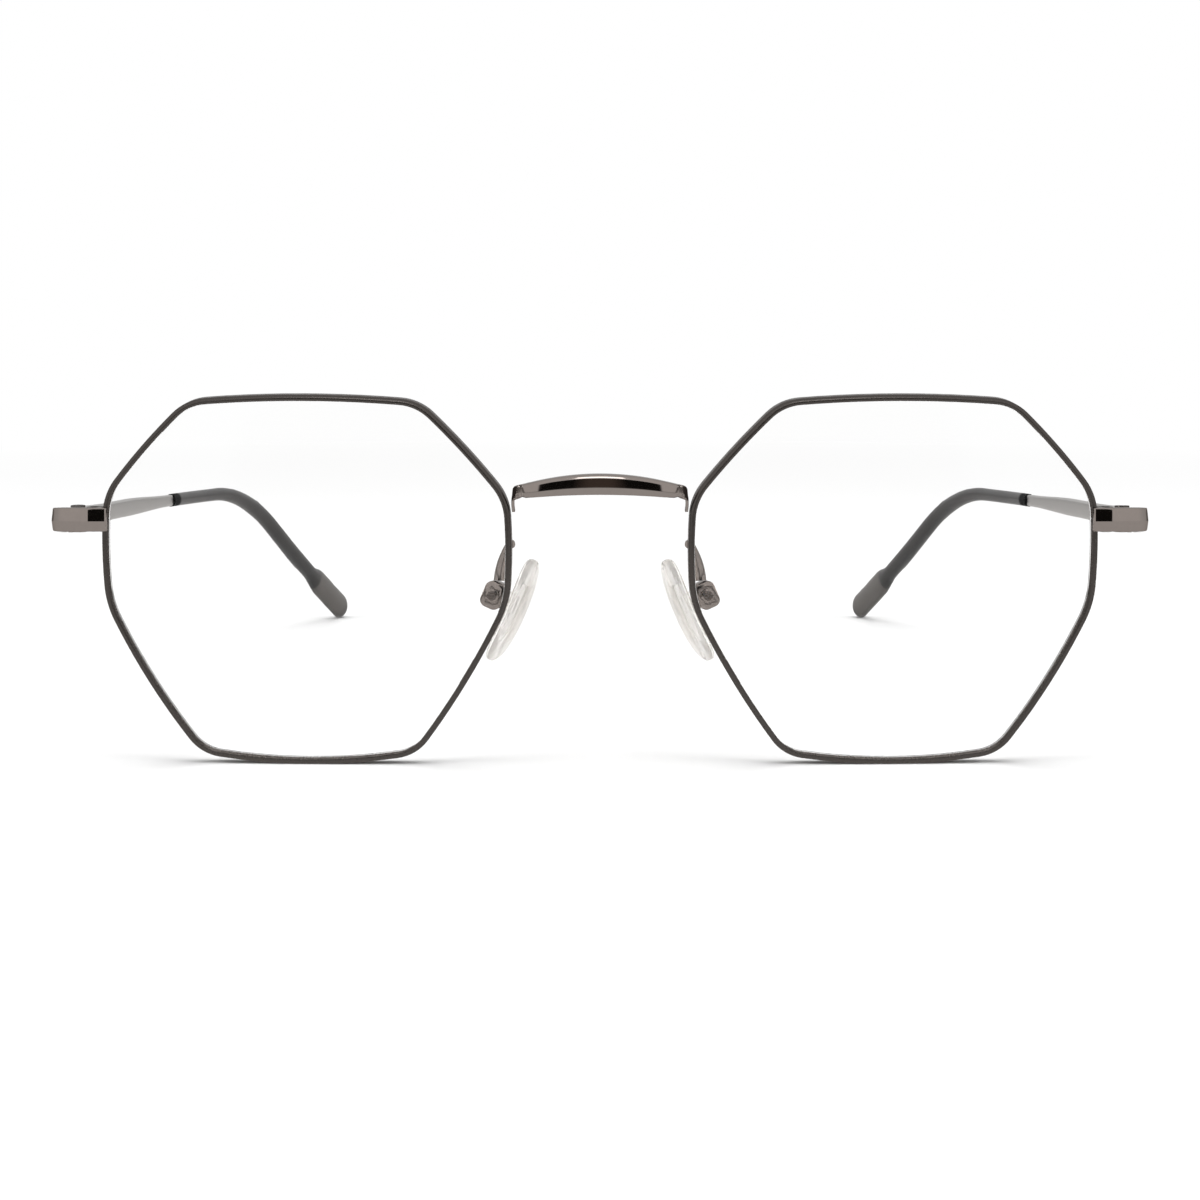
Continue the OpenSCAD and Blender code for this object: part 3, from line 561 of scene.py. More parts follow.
def ease_edges(piece: bpy.types.Object, width: float, segments: int = 2,
               angle: float = 40.0) -> None:
    """Adds the modifier that eases a piece's edges.

    Args:
        piece: The piece.
        width: Width of the eased edges in millimetres.
        segments: Steps of each eased edge.
        angle: Edges that turn by more than this, in degrees, are eased.
    """
    eased = piece.modifiers.new("eased edges", "BEVEL")
    eased.width, eased.segments = width * MM, segments
    eased.limit_method, eased.angle_limit = "ANGLE", math.radians(angle)


def softened_node(node: str, width: float, segments: int = 2, angle: float = 28.0,
                  flat_angle: float = 0.5) -> bpy.types.Object:
    """Copy of a CAD node with its points merged, its flat faces joined and its edges eased.

    Args:
        node: The CAD node's name.
        width: Width of the eased edges in millimetres.
        segments: Steps of each eased edge.
        angle: Edges that turn by more than this, in degrees, are eased.
        flat_angle: Faces that differ by less than this are joined first.

    Returns:
        The new piece, with its modifiers worked in.
    """
    mesh = frame["nodes"][node].data.copy()
    mesh.name = f"{node}_detailed"
    work = bmesh.new()
    work.from_mesh(mesh)
    bmesh.ops.remove_doubles(work, verts=work.verts, dist=MERGE_DISTANCE)
    bmesh.ops.dissolve_limit(work, angle_limit=math.radians(flat_angle), verts=work.verts,
                             edges=work.edges)
    work.to_mesh(mesh)
    work.free()
    piece = new_piece(f"{node}_detailed", mesh)
    ease_edges(piece, width, segments, angle)
    settle(piece)
    for face in piece.data.polygons:
        face.use_smooth = True
    piece.data.set_sharp_from_angle(angle=math.radians(angle))
    return piece


# Geometry Nodes: a loft along a path, and slotted screws


class GeometryTree:
    """A Geometry Nodes tree that ends in real geometry with its material set."""

    def __init__(self, name: str, inputs: dict[str, str]) -> None:
        """Makes the tree with its sockets.

        Args:
            name: The tree's name.
            inputs: Names and socket kinds of the inputs.
        """
        self.tree = bpy.data.node_groups.new(name, "GeometryNodeTree")
        interface = self.tree.interface
        self.sockets = {key: interface.new_socket(key, in_out="INPUT", socket_type=kind).identifier
                        for key, kind in inputs.items()}
        interface.new_socket("Mesh", in_out="OUTPUT", socket_type="NodeSocketGeometry")
        self.kit = NodeTree(self.tree)
        self.given, self.result = self.kit.add("NodeGroupInput"), self.kit.add("NodeGroupOutput")

    def named(self, name: str, kind: str) -> Socket:
        """Output of a named attribute."""
        node = self.kit.add("GeometryNodeInputNamedAttribute", data_type=kind)
        node.inputs["Name"].default_value = name
        return next(s for s in node.outputs if s.name == "Attribute" and s.enabled)

    def finish(self, shape: Socket) -> None:
        """Realises the shape's instances, sets its material and gives it as the result."""
        real = self.kit.feed(self.kit.add("GeometryNodeRealizeInstances"), Geometry=shape)
        dressed = self.kit.feed(self.kit.add("GeometryNodeSetMaterial"), Geometry=real.outputs[0],
                                Material=self.given.outputs["Material"])
        self.kit.link(dressed.outputs[0], self.result.inputs[0])

    def apply(self, host: bpy.types.Object, values: dict[str, object]) -> None:
        """Gives the host this tree as a modifier.

        Args:
            host: The object whose mesh goes into the tree.
            values: Value of each named input, set by the socket's identifier.
        """
        modifier = host.modifiers.new(self.tree.name, "NODES")
        modifier.node_group = self.tree
        for key, value in values.items():
            modifier[self.sockets[key]] = value


class LoftTree(GeometryTree):
    """Sweeps a section along the host's path.

    Each path point carries its own side and up directions and half sizes as attributes, and each
    section point its own u and v, so that the section can change along the path.
    """

    def __init__(self) -> None:
        """Builds the tree once."""
        super().__init__("loft_along_path", {
            "Path": "NodeSocketGeometry", "Section": "NodeSocketObject",
            "Thickness Scale": "NodeSocketFloat", "Height Scale": "NodeSocketFloat",
            "Material": "NodeSocketMaterial"})
        kit, given = self.kit, self.given.outputs
        rail = kit.feed(kit.add("GeometryNodeMeshToCurve"), Mesh=given["Path"])
        shape = kit.feed(kit.add("GeometryNodeObjectInfo"), Object=given["Section"])
        section = kit.feed(kit.add("GeometryNodeMeshToCurve"), Mesh=shape.outputs["Geometry"])
        swept = kit.feed(kit.add("GeometryNodeCurveToMesh"), Curve=rail.outputs[0],
                         Profile_Curve=section.outputs[0], Fill_Caps=True)
        kept = kit.math("MAXIMUM", self.named("u", "FLOAT"), self.named("back", "FLOAT"))
        across = self._scaled("side", kept, "half_t", given["Thickness Scale"])
        upward = self._scaled("up", self.named("v", "FLOAT"), "half_h", given["Height Scale"])
        place = kit.vector("ADD", self.named("centre", "FLOAT_VECTOR"),
                           kit.vector("ADD", across, upward))
        placed = kit.feed(kit.add("GeometryNodeSetPosition"), Geometry=swept.outputs[0],
                          Position=place)
        self.finish(placed.outputs[0])

    def _scaled(self, direction: str, share: Socket, half: str, scale: Socket) -> Socket:
        """Direction times the section's share, the path's half size and a scale."""
        size = self.kit.math("MULTIPLY", share, self.named(half, "FLOAT"))
        return self.kit.vector("SCALE", self.named(direction, "FLOAT_VECTOR"),
                               self.kit.math("MULTIPLY", size, scale))

    def sweep(self, name: str, path: "Path", section: Sequence[Point2],
              material: bpy.types.Material) -> bpy.types.Object:
        """Builds one swept piece.

        Args:
            name: Name of the piece.
            path: Points, directions and half sizes along the way, in metres.
            section: Closed outline of the section, in half sizes.
            material: Material of the piece.

        Returns:
            The piece as a plain mesh, with faces outwards and no modifier.
        """
        host = new_piece(name, path.mesh(name))
        count = len(section)
        outline = bpy.data.meshes.new("section")
        outline.from_pydata([(u, v, 0.0) for u, v in section],
                            [(i, (i + 1) % count) for i in range(count)], [])
        for key, values in zip(("u", "v"), zip(*section)):
            outline.attributes.new(key, "FLOAT", "POINT").data.foreach_set("value", values)
        holder = new_piece("section", outline)
        self.apply(host, {"Section": holder, "Thickness Scale": 1.0, "Height Scale": 1.0,
                          "Material": material})
        settle(host)
        bpy.data.objects.remove(holder)
        for key in ("u", "v", "half_t", "half_h", "back", "side", "up", "centre"):
            layer = host.data.attributes.get(key)
            if layer is not None:
                host.data.attributes.remove(layer)
        tidy_mesh(host.data)
        return host


@dataclass
class Path:
    """Stations along a piece, in millimetres until they are placed, and in metres after.

    Each has a centre, the section's side and up directions, its half thickness and half height, a
    share of the way along, and the least u that the section keeps there. A turned piece's path is a
    closed circle whose centres all lie on its axis.
    """

    closed: bool = False
    points: list[np.ndarray] = field(default_factory=list)
    centres: list[np.ndarray] = field(default_factory=list)
    sides: list[np.ndarray] = field(default_factory=list)
    ups: list[np.ndarray] = field(default_factory=list)
    half_t: list[float] = field(default_factory=list)
    half_h: list[float] = field(default_factory=list)
    along: list[float] = field(default_factory=list)
    back: list[float] = field(default_factory=list)

    def add(self, centre: Sequence[float], side: Sequence[float], up: Sequence[float],
            half_t: float = 1.0, half_h: float = 1.0, along: float = 0.0,
            point: Sequence[float] | None = None, back: float = WHOLE_SECTION) -> None:
        """Adds one station.

        Args:
            centre: Middle of the section.
            side: Unit vector of the section's u.
            up: Unit vector of the section's v.
            half_t: Length of one u.
            half_h: Length of one v.
            along: Share of the way along the piece.
            point: Place on the guide line, where that isn't the centre.
            back: Least u that the section keeps here, which makes it thinner from behind.
        """
        self.centres.append(np.array(centre, float))
        self.points.append(np.array(centre if point is None else point, float))
        self.sides.append(np.array(side, float))
        self.ups.append(np.array(up, float))
        self.half_t.append(half_t)
        self.half_h.append(half_h)
        self.along.append(along)
        self.back.append(back)

    def placed(self, matrix: Matrix) -> "Path":
        """The same path in metres, moved by a matrix in millimetres."""
        turn = matrix.to_3x3()
        moved = Path(closed=self.closed)
        rows = zip(self.centres, self.sides, self.ups, self.half_t, self.half_h, self.along,
                   self.points, self.back)
        for centre, side, up, half_t, half_h, along, point, back in rows:
            moved.add((matrix @ Vector(centre)) * MM, turn @ Vector(side), turn @ Vector(up),
                      half_t * MM, half_h * MM, along, (matrix @ Vector(point)) * MM, back)
        return moved

    def mesh(self, name: str) -> bpy.types.Mesh:
        """Line mesh that carries the stations as attributes."""
        count = len(self.points)
        edges = [(i, (i + 1) % count) for i in range(count if self.closed else count - 1)]
        mesh = bpy.data.meshes.new(name)
        mesh.from_pydata([tuple(p) for p in self.points], edges, [])
        for key, values in (("side", self.sides), ("up", self.ups), ("centre", self.centres)):
            flat = np.array(values, float).ravel()
            mesh.attributes.new(key, "FLOAT_VECTOR", "POINT").data.foreach_set("vector", flat)
        for key, values in (("half_t", self.half_t), ("half_h", self.half_h),
                            ("along", self.along), ("back", self.back)):
            mesh.attributes.new(key, "FLOAT", "POINT").data.foreach_set("value", values)
        return mesh


def turned_path(steps: int = 40) -> Path:
    """Closed circle round the Z axis, for pieces that are turned on a lathe."""
    path = Path(closed=True)
    for k in range(steps):
        a = 2 * math.pi * k / steps
        radial = (math.cos(a), math.sin(a), 0.0)
        path.add((0.0, 0.0, 0.0), radial, (0.0, 0.0, 1.0), point=radial)
    return path


def rounded(outline: Sequence[Point2], cut: float, steps: int = 3,
            keep: Sequence[int] = ()) -> list[Point2]:
    """Closed outline with its corners rounded.

    Args:
        outline: Corners of the outline.
        cut: Share of each side that a rounding takes up at each end.
        steps: Points of each rounding.
        keep: Corners that stay sharp.

    Returns:
        The new outline.
    """
    points = [np.array(p, float) for p in outline]
    made: list[Point2] = []
    for i, corner in enumerate(points):
        if i in keep:
            made.append(tuple(corner))
            continue
        before, after = points[i - 1], points[(i + 1) % len(points)]
        start, end = corner + (before - corner) * cut, corner + (after - corner) * cut
        for k in range(steps):
            t = k / (steps - 1)
            made.append(tuple((1 - t) ** 2 * start + 2 * t * (1 - t) * corner + t * t * end))
    return made


def oval(count: int = 20) -> list[Point2]:
    """Round section in half sizes."""
    turns = [2 * math.pi * i / count for i in range(count)]
    return [(math.cos(a), math.sin(a)) for a in turns]


def shell_mesh(name: str, first: np.ndarray, loops: Sequence[np.ndarray],
               last: np.ndarray) -> bpy.types.Mesh:
    """Closed skin over loops that shrink to one point at each end.

    Args:
        name: The mesh's name.
        first: Point that closes the first loop.
        loops: Arrays of points, all with the same count.
        last: Point that closes the last loop.

    Returns:
        The mesh, with its faces outwards.
    """
    count = len(loops[0])
    points = [tuple(first)] + [tuple(p) for loop in loops for p in loop] + [tuple(last)]
    faces: list[tuple[int, ...]] = []
    for k in range(len(loops) - 1):
        a, b = 1 + k * count, 1 + (k + 1) * count
        faces += [(a + j, a + (j + 1) % count, b + (j + 1) % count, b + j)
                  for j in range(count)]
    final = 1 + (len(loops) - 1) * count
    faces += [(0, 1 + (j + 1) % count, 1 + j) for j in range(count)]
    faces += [(len(points) - 1, final + j, final + (j + 1) % count) for j in range(count)]
    mesh = bpy.data.meshes.new(name)
    mesh.from_pydata(points, [], faces)
    tidy_mesh(mesh)
    return mesh


def put(points: np.ndarray, matrix: Matrix) -> np.ndarray:
    """Points in millimetres, moved by a matrix and given in metres."""
    turn = np.array(matrix.to_3x3())
    return (points @ turn.T + np.array(matrix.translation)) * MM


class ScrewTree(GeometryTree):
    """Slotted screws: a head and a shank at each point of the host, turned by its attribute."""

    SIZES = ("Shank Radius", "Shank Length", "Head Radius", "Head Height", "Slot Width",
             "Slot Depth")
    SIDES = 40

    def __init__(self) -> None:
        """Builds the tree once."""
        super().__init__("slotted_screw", {
            "Places": "NodeSocketGeometry", **{size: "NodeSocketFloat" for size in self.SIZES},
            "Material": "NodeSocketMaterial"})
        kit, size = self.kit, self.given.outputs
        half_shank = kit.math("MULTIPLY", size["Shank Length"], -0.5)
        sunk_head = kit.math("MULTIPLY", size["Head Height"], 0.5)
        shank = self._cylinder(size["Shank Radius"],
                               kit.math("ADD", size["Shank Length"], size["Head Height"]),
                               kit.math("ADD", half_shank, sunk_head))
        head = self._cylinder(size["Head Radius"], size["Head Height"], sunk_head)
        whole = kit.add("GeometryNodeMeshBoolean", operation="UNION", solver="EXACT")
        kit.link(shank, whole.inputs["Mesh 2"])
        kit.link(head, whole.inputs["Mesh 2"])
        # The blade is longer than the head and sits half in it, so it is two slots deep
        span = kit.feed(kit.add("ShaderNodeCombineXYZ"),
                        X=kit.math("MULTIPLY", size["Head Radius"], 3.0), Y=size["Slot Width"],
                        Z=kit.math("MULTIPLY", size["Slot Depth"], 2.0))
        blade = kit.feed(kit.add("GeometryNodeMeshCube"), Size=span.outputs[0])
        lifted = self._moved(blade.outputs["Mesh"], size["Head Height"])
        cut = kit.add("GeometryNodeMeshBoolean", operation="DIFFERENCE", solver="EXACT")
        kit.feed(cut, Mesh_1=whole.outputs["Mesh"], Mesh_2=lifted)
        spun = kit.add("FunctionNodeEulerToRotation")
        kit.link(self.named("turn", "FLOAT_VECTOR"), spun.inputs[0])
        spread = kit.feed(kit.add("GeometryNodeInstanceOnPoints"), Points=size["Places"],
                          Instance=cut.outputs["Mesh"], Rotation=spun.outputs[0])
        self.finish(spread.outputs[0])

    def _moved(self, shape: Socket, lift: Socket) -> Socket:
        """A shape lifted along Z."""
        rise = self.kit.feed(self.kit.add("ShaderNodeCombineXYZ"), Z=lift)
        moved = self.kit.feed(self.kit.add("GeometryNodeTransform"), Geometry=shape,
                              Translation=rise.outputs[0])
        return moved.outputs[0]

    def _cylinder(self, radius: Socket, depth: Socket, lift: Socket) -> Socket:
        """A cylinder on the Z axis, lifted along it."""
        shape = self.kit.feed(self.kit.add("GeometryNodeMeshCylinder"), Vertices=self.SIDES,
                              Radius=radius, Depth=depth)
        return self._moved(shape.outputs["Mesh"], lift)

    def make(self, name: str, sizes: dict[str, float], place: Matrix, material: bpy.types.Material,
             bevel: float = 0.05) -> bpy.types.Object:
        """Builds one screw.

        Args:
            name: Name of the piece.
            sizes: Value in millimetres for each of SIZES.
            place: Where the head's underside is, in millimetres, with Z out of the head.
            material: Material of the piece.
            bevel: Width of its eased edges in millimetres.

        Returns:
            The piece as a plain mesh.
        """
        host_mesh = bpy.data.meshes.new(name)
        host_mesh.from_pydata([tuple(place.translation * MM)], [], [])
        turn = tuple(place.to_3x3().to_euler("XYZ"))
        host_mesh.attributes.new("turn", "FLOAT_VECTOR", "POINT").data.foreach_set("vector", turn)
        host = new_piece(name, host_mesh)
        self.apply(host, {**{key: sizes[key] * MM for key in self.SIZES}, "Material": material})
        ease_edges(host, bevel)
        settle(host)
        tidy_mesh(host.data, merge=MERGE_DISTANCE / 10)
        return host


# The eyeglasses


@dataclass(frozen=True)
class Stance:
    """How the lenses, the front, the hinge line and the table stand to each other."""

    lens_w: float = 50.0
    lens_gap: float = 22.6
    wrap_angle: float = 2.0
    hinge_back: float = 9.9
    hinge_rise: float = 6.35
    pantoscopic_tilt: float = 5.2
    endpiece_reach: float = 6.8
    endpiece_t: float = 1.15
    barrel_r: float = 1.05
    seat_clear: float = 0.03

    @property
    def lens_x(self) -> float:
        """Distance of a lens centre from the middle."""
        return (self.lens_gap + self.lens_w) / 2

    @property
    def front_half(self) -> float:
        """Distance of an endpiece's outer face from the middle."""
        return self.lens_gap / 2 + self.lens_w + self.endpiece_reach

    @property
    def hinge_x(self) -> float:
        """Distance of a hinge pin from the middle."""
        return self.front_half - self.endpiece_t - self.barrel_r - self.seat_clear

    def seated(self, side: Side) -> Matrix:
        """Hinge frame to the table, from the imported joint's place and axis."""
        joint = next(j for j in frame["joints"] if j["name"] == "left_temple_fold")
        place, axis = Vector(joint["pos_m"]) / MM, joint["axis"]
        rest_tilt = math.atan2(axis[1], axis[2])
        return (Matrix.Diagonal((side.sign, 1.0, 1.0, 1.0))
                @ Matrix.Translation((0.0, place.y, place.z)) @ Matrix.Rotation(-rest_tilt, 4, "X"))

    def front(self, side: Side) -> Matrix:
        """Front frame, whose origin lies between the lens centres, to the table."""
        return (self.seated(side) @ Matrix.Rotation(math.radians(self.pantoscopic_tilt), 4, "X")
                @ Matrix.Translation((0.0, -self.hinge_back, -self.hinge_rise)))

    def lens(self, side: Side) -> Matrix:
        """Lens frame, with +Y back along its axis, to the table."""
        return (self.front(side) @ Matrix.Translation((self.lens_x, 0.0, 0.0))
                @ Matrix.Rotation(math.radians(self.wrap_angle), 4, "Z"))

    def lens_to_front(self, p: Sequence[float]) -> np.ndarray:
        """Point of the left lens frame in the front frame."""
        a = math.radians(self.wrap_angle)
        return np.array([self.lens_x + p[0] * math.cos(a) - p[1] * math.sin(a),
                         p[0] * math.sin(a) + p[1] * math.cos(a), p[2]])

    def front_to_hinge(self, p: Sequence[float]) -> np.ndarray:
        """Point of the front frame in the hinge frame."""
        a = math.radians(self.pantoscopic_tilt)
        y, z = p[1] - self.hinge_back, p[2] - self.hinge_rise
        return np.array([p[0], y * math.cos(a) - z * math.sin(a),
                         y * math.sin(a) + z * math.cos(a)])


@dataclass(frozen=True)
class LensOutline:
    """The eight bowed sides of a lens and their rounded corners, in the lens's plane."""

    lens_w: float = 50.0
    lens_h: float = 45.5
    base_curve_r: float = 130.0
    top_side: float = 28.3
    bottom_side: float = 26.7
    temple_side: float = 13.5
    nose_side: float = 12.8
    side_rise: float = 3.8
    top_shift: float = 0.25
    bottom_shift: float = 0.15
    side_bow: float = 0.3
    top_bow: float = 0.7
    bottom_bow: float = 1.1
    upper_bow: float = 0.36
    lower_bow: float = 0.6
    corner_len: float = 2.2
    corner_reach: float = 0.65
    cut_rise: float = 7.6
    rim_cut: float = 0.2
    side_steps: int = 10
    corner_steps: int = 8

    def corners(self) -> list[np.ndarray]:
        """The eight corners before they are rounded, from the temple side over the top."""
        w, h = self.lens_w / 2 - self.side_bow, self.lens_h / 2
        top, low = h - self.top_bow, -h + self.bottom_bow
        pairs = ((w, self.side_rise + self.temple_side / 2),
                 (self.top_side / 2 + self.top_shift, top),
                 (-self.top_side / 2 + self.top_shift, top),
                 (-w, self.side_rise + self.nose_side / 2),
                 (-w, self.side_rise - self.nose_side / 2),
                 (-self.bottom_side / 2 + self.bottom_shift, low),
                 (self.bottom_side / 2 + self.bottom_shift, low),
                 (w, self.side_rise - self.temple_side / 2))
        return [np.array(p) for p in pairs]

    def _side(self, i: int) -> tuple[np.ndarray, np.ndarray, float, float]:
        """Start, run, bow and length of side i."""
        corners = self.corners()
        bows = (self.upper_bow, self.top_bow, self.upper_bow, self.side_bow,
                self.lower_bow, self.bottom_bow, self.lower_bow, self.side_bow)
        run = corners[(i + 1) % 8] - corners[i]
        return corners[i], run, bows[i], float(np.linalg.norm(run))

    def side_point(self, i: int, t: float) -> np.ndarray:
        """Point of side i."""
        start, run, bow, _ = self._side(i)
        d = unit(run)
        return start + run * t + 4 * t * (1 - t) * bow * np.array([d[1], -d[0]])

    def side_heading(self, i: int, t: float) -> np.ndarray:
        """Heading of side i."""
        _, run, bow, _ = self._side(i)
        d = unit(run)
        return unit(run + 4 * (1 - 2 * t) * bow * np.array([d[1], -d[0]]))

    def corner_point(self, i: int, t: float) -> np.ndarray:
        """Point of the rounding at corner i."""
        j = (i + 7) % 8
        t0, t1 = 1 - self.corner_len / self._side(j)[3], self.corner_len / self._side(i)[3]
        a, b = self.side_point(j, t0), self.side_point(i, t1)
        reach = self.corner_reach * self.corner_len
        way = [a, a + reach * self.side_heading(j, t0), b - reach * self.side_heading(i, t1), b]
        return bezier(way, t)

    def points(self) -> list[np.ndarray]:
        """The outline from just above the rim's cut, over the top and round to just below it."""
        length = self._side(7)[3]
        cut = (self.cut_rise - self.corners()[7][1]) / length
        gap = self.rim_cut / 2 / length
        made = [self.side_point(7, mix(cut + gap, 1 - self.corner_len / length, k / 4))
                for k in range(4)]
        for i in range(8):
            made += [self.corner_point(i, k / self.corner_steps) for k in range(self.corner_steps)]
            start = self.corner_len / self._side(i)[3]
            end = cut - gap if i == 7 else 1 - start
            steps = self.side_steps
            made += [self.side_point(i, mix(start, end, k / steps))
                     for k in range(steps + (i == 7))]
        return made

    def stations(self) -> list[tuple[np.ndarray, np.ndarray]]:
        """Each outline point with its outward direction."""
        points = self.points()
        made = []
        for i, p in enumerate(points):
            d = unit(points[(i + 1) % len(points)] - points[i - 1])
            made.append((p, np.array([d[1], -d[0]])))
        return made

    def sag(self, p: Sequence[float]) -> float:
        """Depth of the lens sphere behind its foremost point."""
        r = self.base_curve_r
        return r - math.sqrt(r * r - p[0] ** 2 - p[1] ** 2)


@dataclass(frozen=True)
class RimAndLens:
    """One grooved rim wire and the lens that it holds."""

    stance: Stance
    outline: LensOutline
    wall: float = 0.72
    depth: float = 2.5
    groove_depth: float = 0.38
    groove_w: float = 0.7
    crown: float = 0.06
    edge: float = 0.15
    rounding: float = 0.3
    lens_t: float = 1.2
    lens_edge_t: float = 0.24
    seat_clear: float = 0.03
    shoulder_in: float = 0.03
    face_shares: tuple[float, ...] = (0.15, 0.3, 0.45, 0.6, 0.75, 0.88, 0.96)

    @property
    def rim_out(self) -> float:
        """Distance that the rim stands outside the lens edge."""
        return self.wall - self.groove_depth

    def section(self) -> list[Point2]:
        """Section of the rim: u outwards from the lens edge, v backwards."""
        a, e, inner, outer = self.depth / 2, self.edge, -self.groove_depth, self.rim_out
        cut, low = e * self.rounding, self.crown * self.rounding
        front = [(inner, -a + e), (inner + cut, -a + cut), (inner + e, -a - low),
                 ((inner + outer) / 2, -a - self.crown), (outer - e, -a - low),
                 (outer - cut, -a + cut), (outer, -a + e)]
        back = [(outer, a - e), (outer - cut, a - cut), (outer - e, a), (inner + e, a),
                (inner + cut, a - cut), (inner, a - e)]
        seat = self.lens_edge_t / 2 + self.seat_clear
        groove = [(inner, self.groove_w / 2), (self.seat_clear, seat), (self.seat_clear, -seat),
                  (inner, -self.groove_w / 2)]
        return front + back + groove

    def path(self) -> Path:
        """The rim's way round the lens."""
        path = Path()
        radius = self.outline.base_curve_r
        for p, out in self.outline.stations():
            lean = float(p @ out) / radius
            path.add((p[0], self.outline.sag(p), p[1]), (out[0], lean, out[1]), (0.0, 1.0, 0.0))
        return path

    def lens_mesh(self, name: str, side: Side) -> bpy.types.Mesh:
        """The lens, crowned like its sphere on both faces, with a bevelled edge in the groove."""
        stations = self.outline.stations()
        shoulder = -self.groove_depth - self.seat_clear
        rise = self.groove_w / 2 - 2 * self.seat_clear
        half, thin = self.lens_t / 2, self.lens_edge_t / 2
        edge = [(shoulder - self.shoulder_in, -half), (shoulder, -rise), (0.0, -thin), (0.0, thin),
                (shoulder, rise), (shoulder - self.shoulder_in, half)]

        def loop(r: float, c: float, share: float = 1.0) -> np.ndarray:
            """One loop, r outside the lens edge and then drawn in to a share of its size."""
            made = [share * (p + r * out) for p, out in stations]
            return np.array([(q[0], self.outline.sag(q) + c, q[1]) for q in made])

        loops = [loop(edge[0][0], -half, share) for share in self.face_shares]
        loops += [loop(r, c) for r, c in edge]
        loops += [loop(edge[0][0], half, share) for share in reversed(self.face_shares)]
        place = self.stance.lens(side)
        placed = [put(points, place) for points in loops]
        first, last = put(np.array([[0.0, -half, 0.0], [0.0, half, 0.0]]), place)
        return shell_mesh(name, first, placed, last)

    def build(self, side: Side, loft: LoftTree, finishes: Finishes) -> None:
        """Makes and dresses this side's rim and lens."""
        node = side.name_of("rim")
        rim = loft.sweep(f"{node}_wire", self.path().placed(self.stance.lens(side)),
                         self.section(), finishes[Slot.GUNMETAL])
        dress(rim, Slot.GUNMETAL, "front", node, finishes)
        node = side.name_of("lens")
        lens = new_piece(f"{node}_clear", self.lens_mesh(f"{node}_clear", side))
        dress(lens, Slot.LENS, "front", node, finishes)


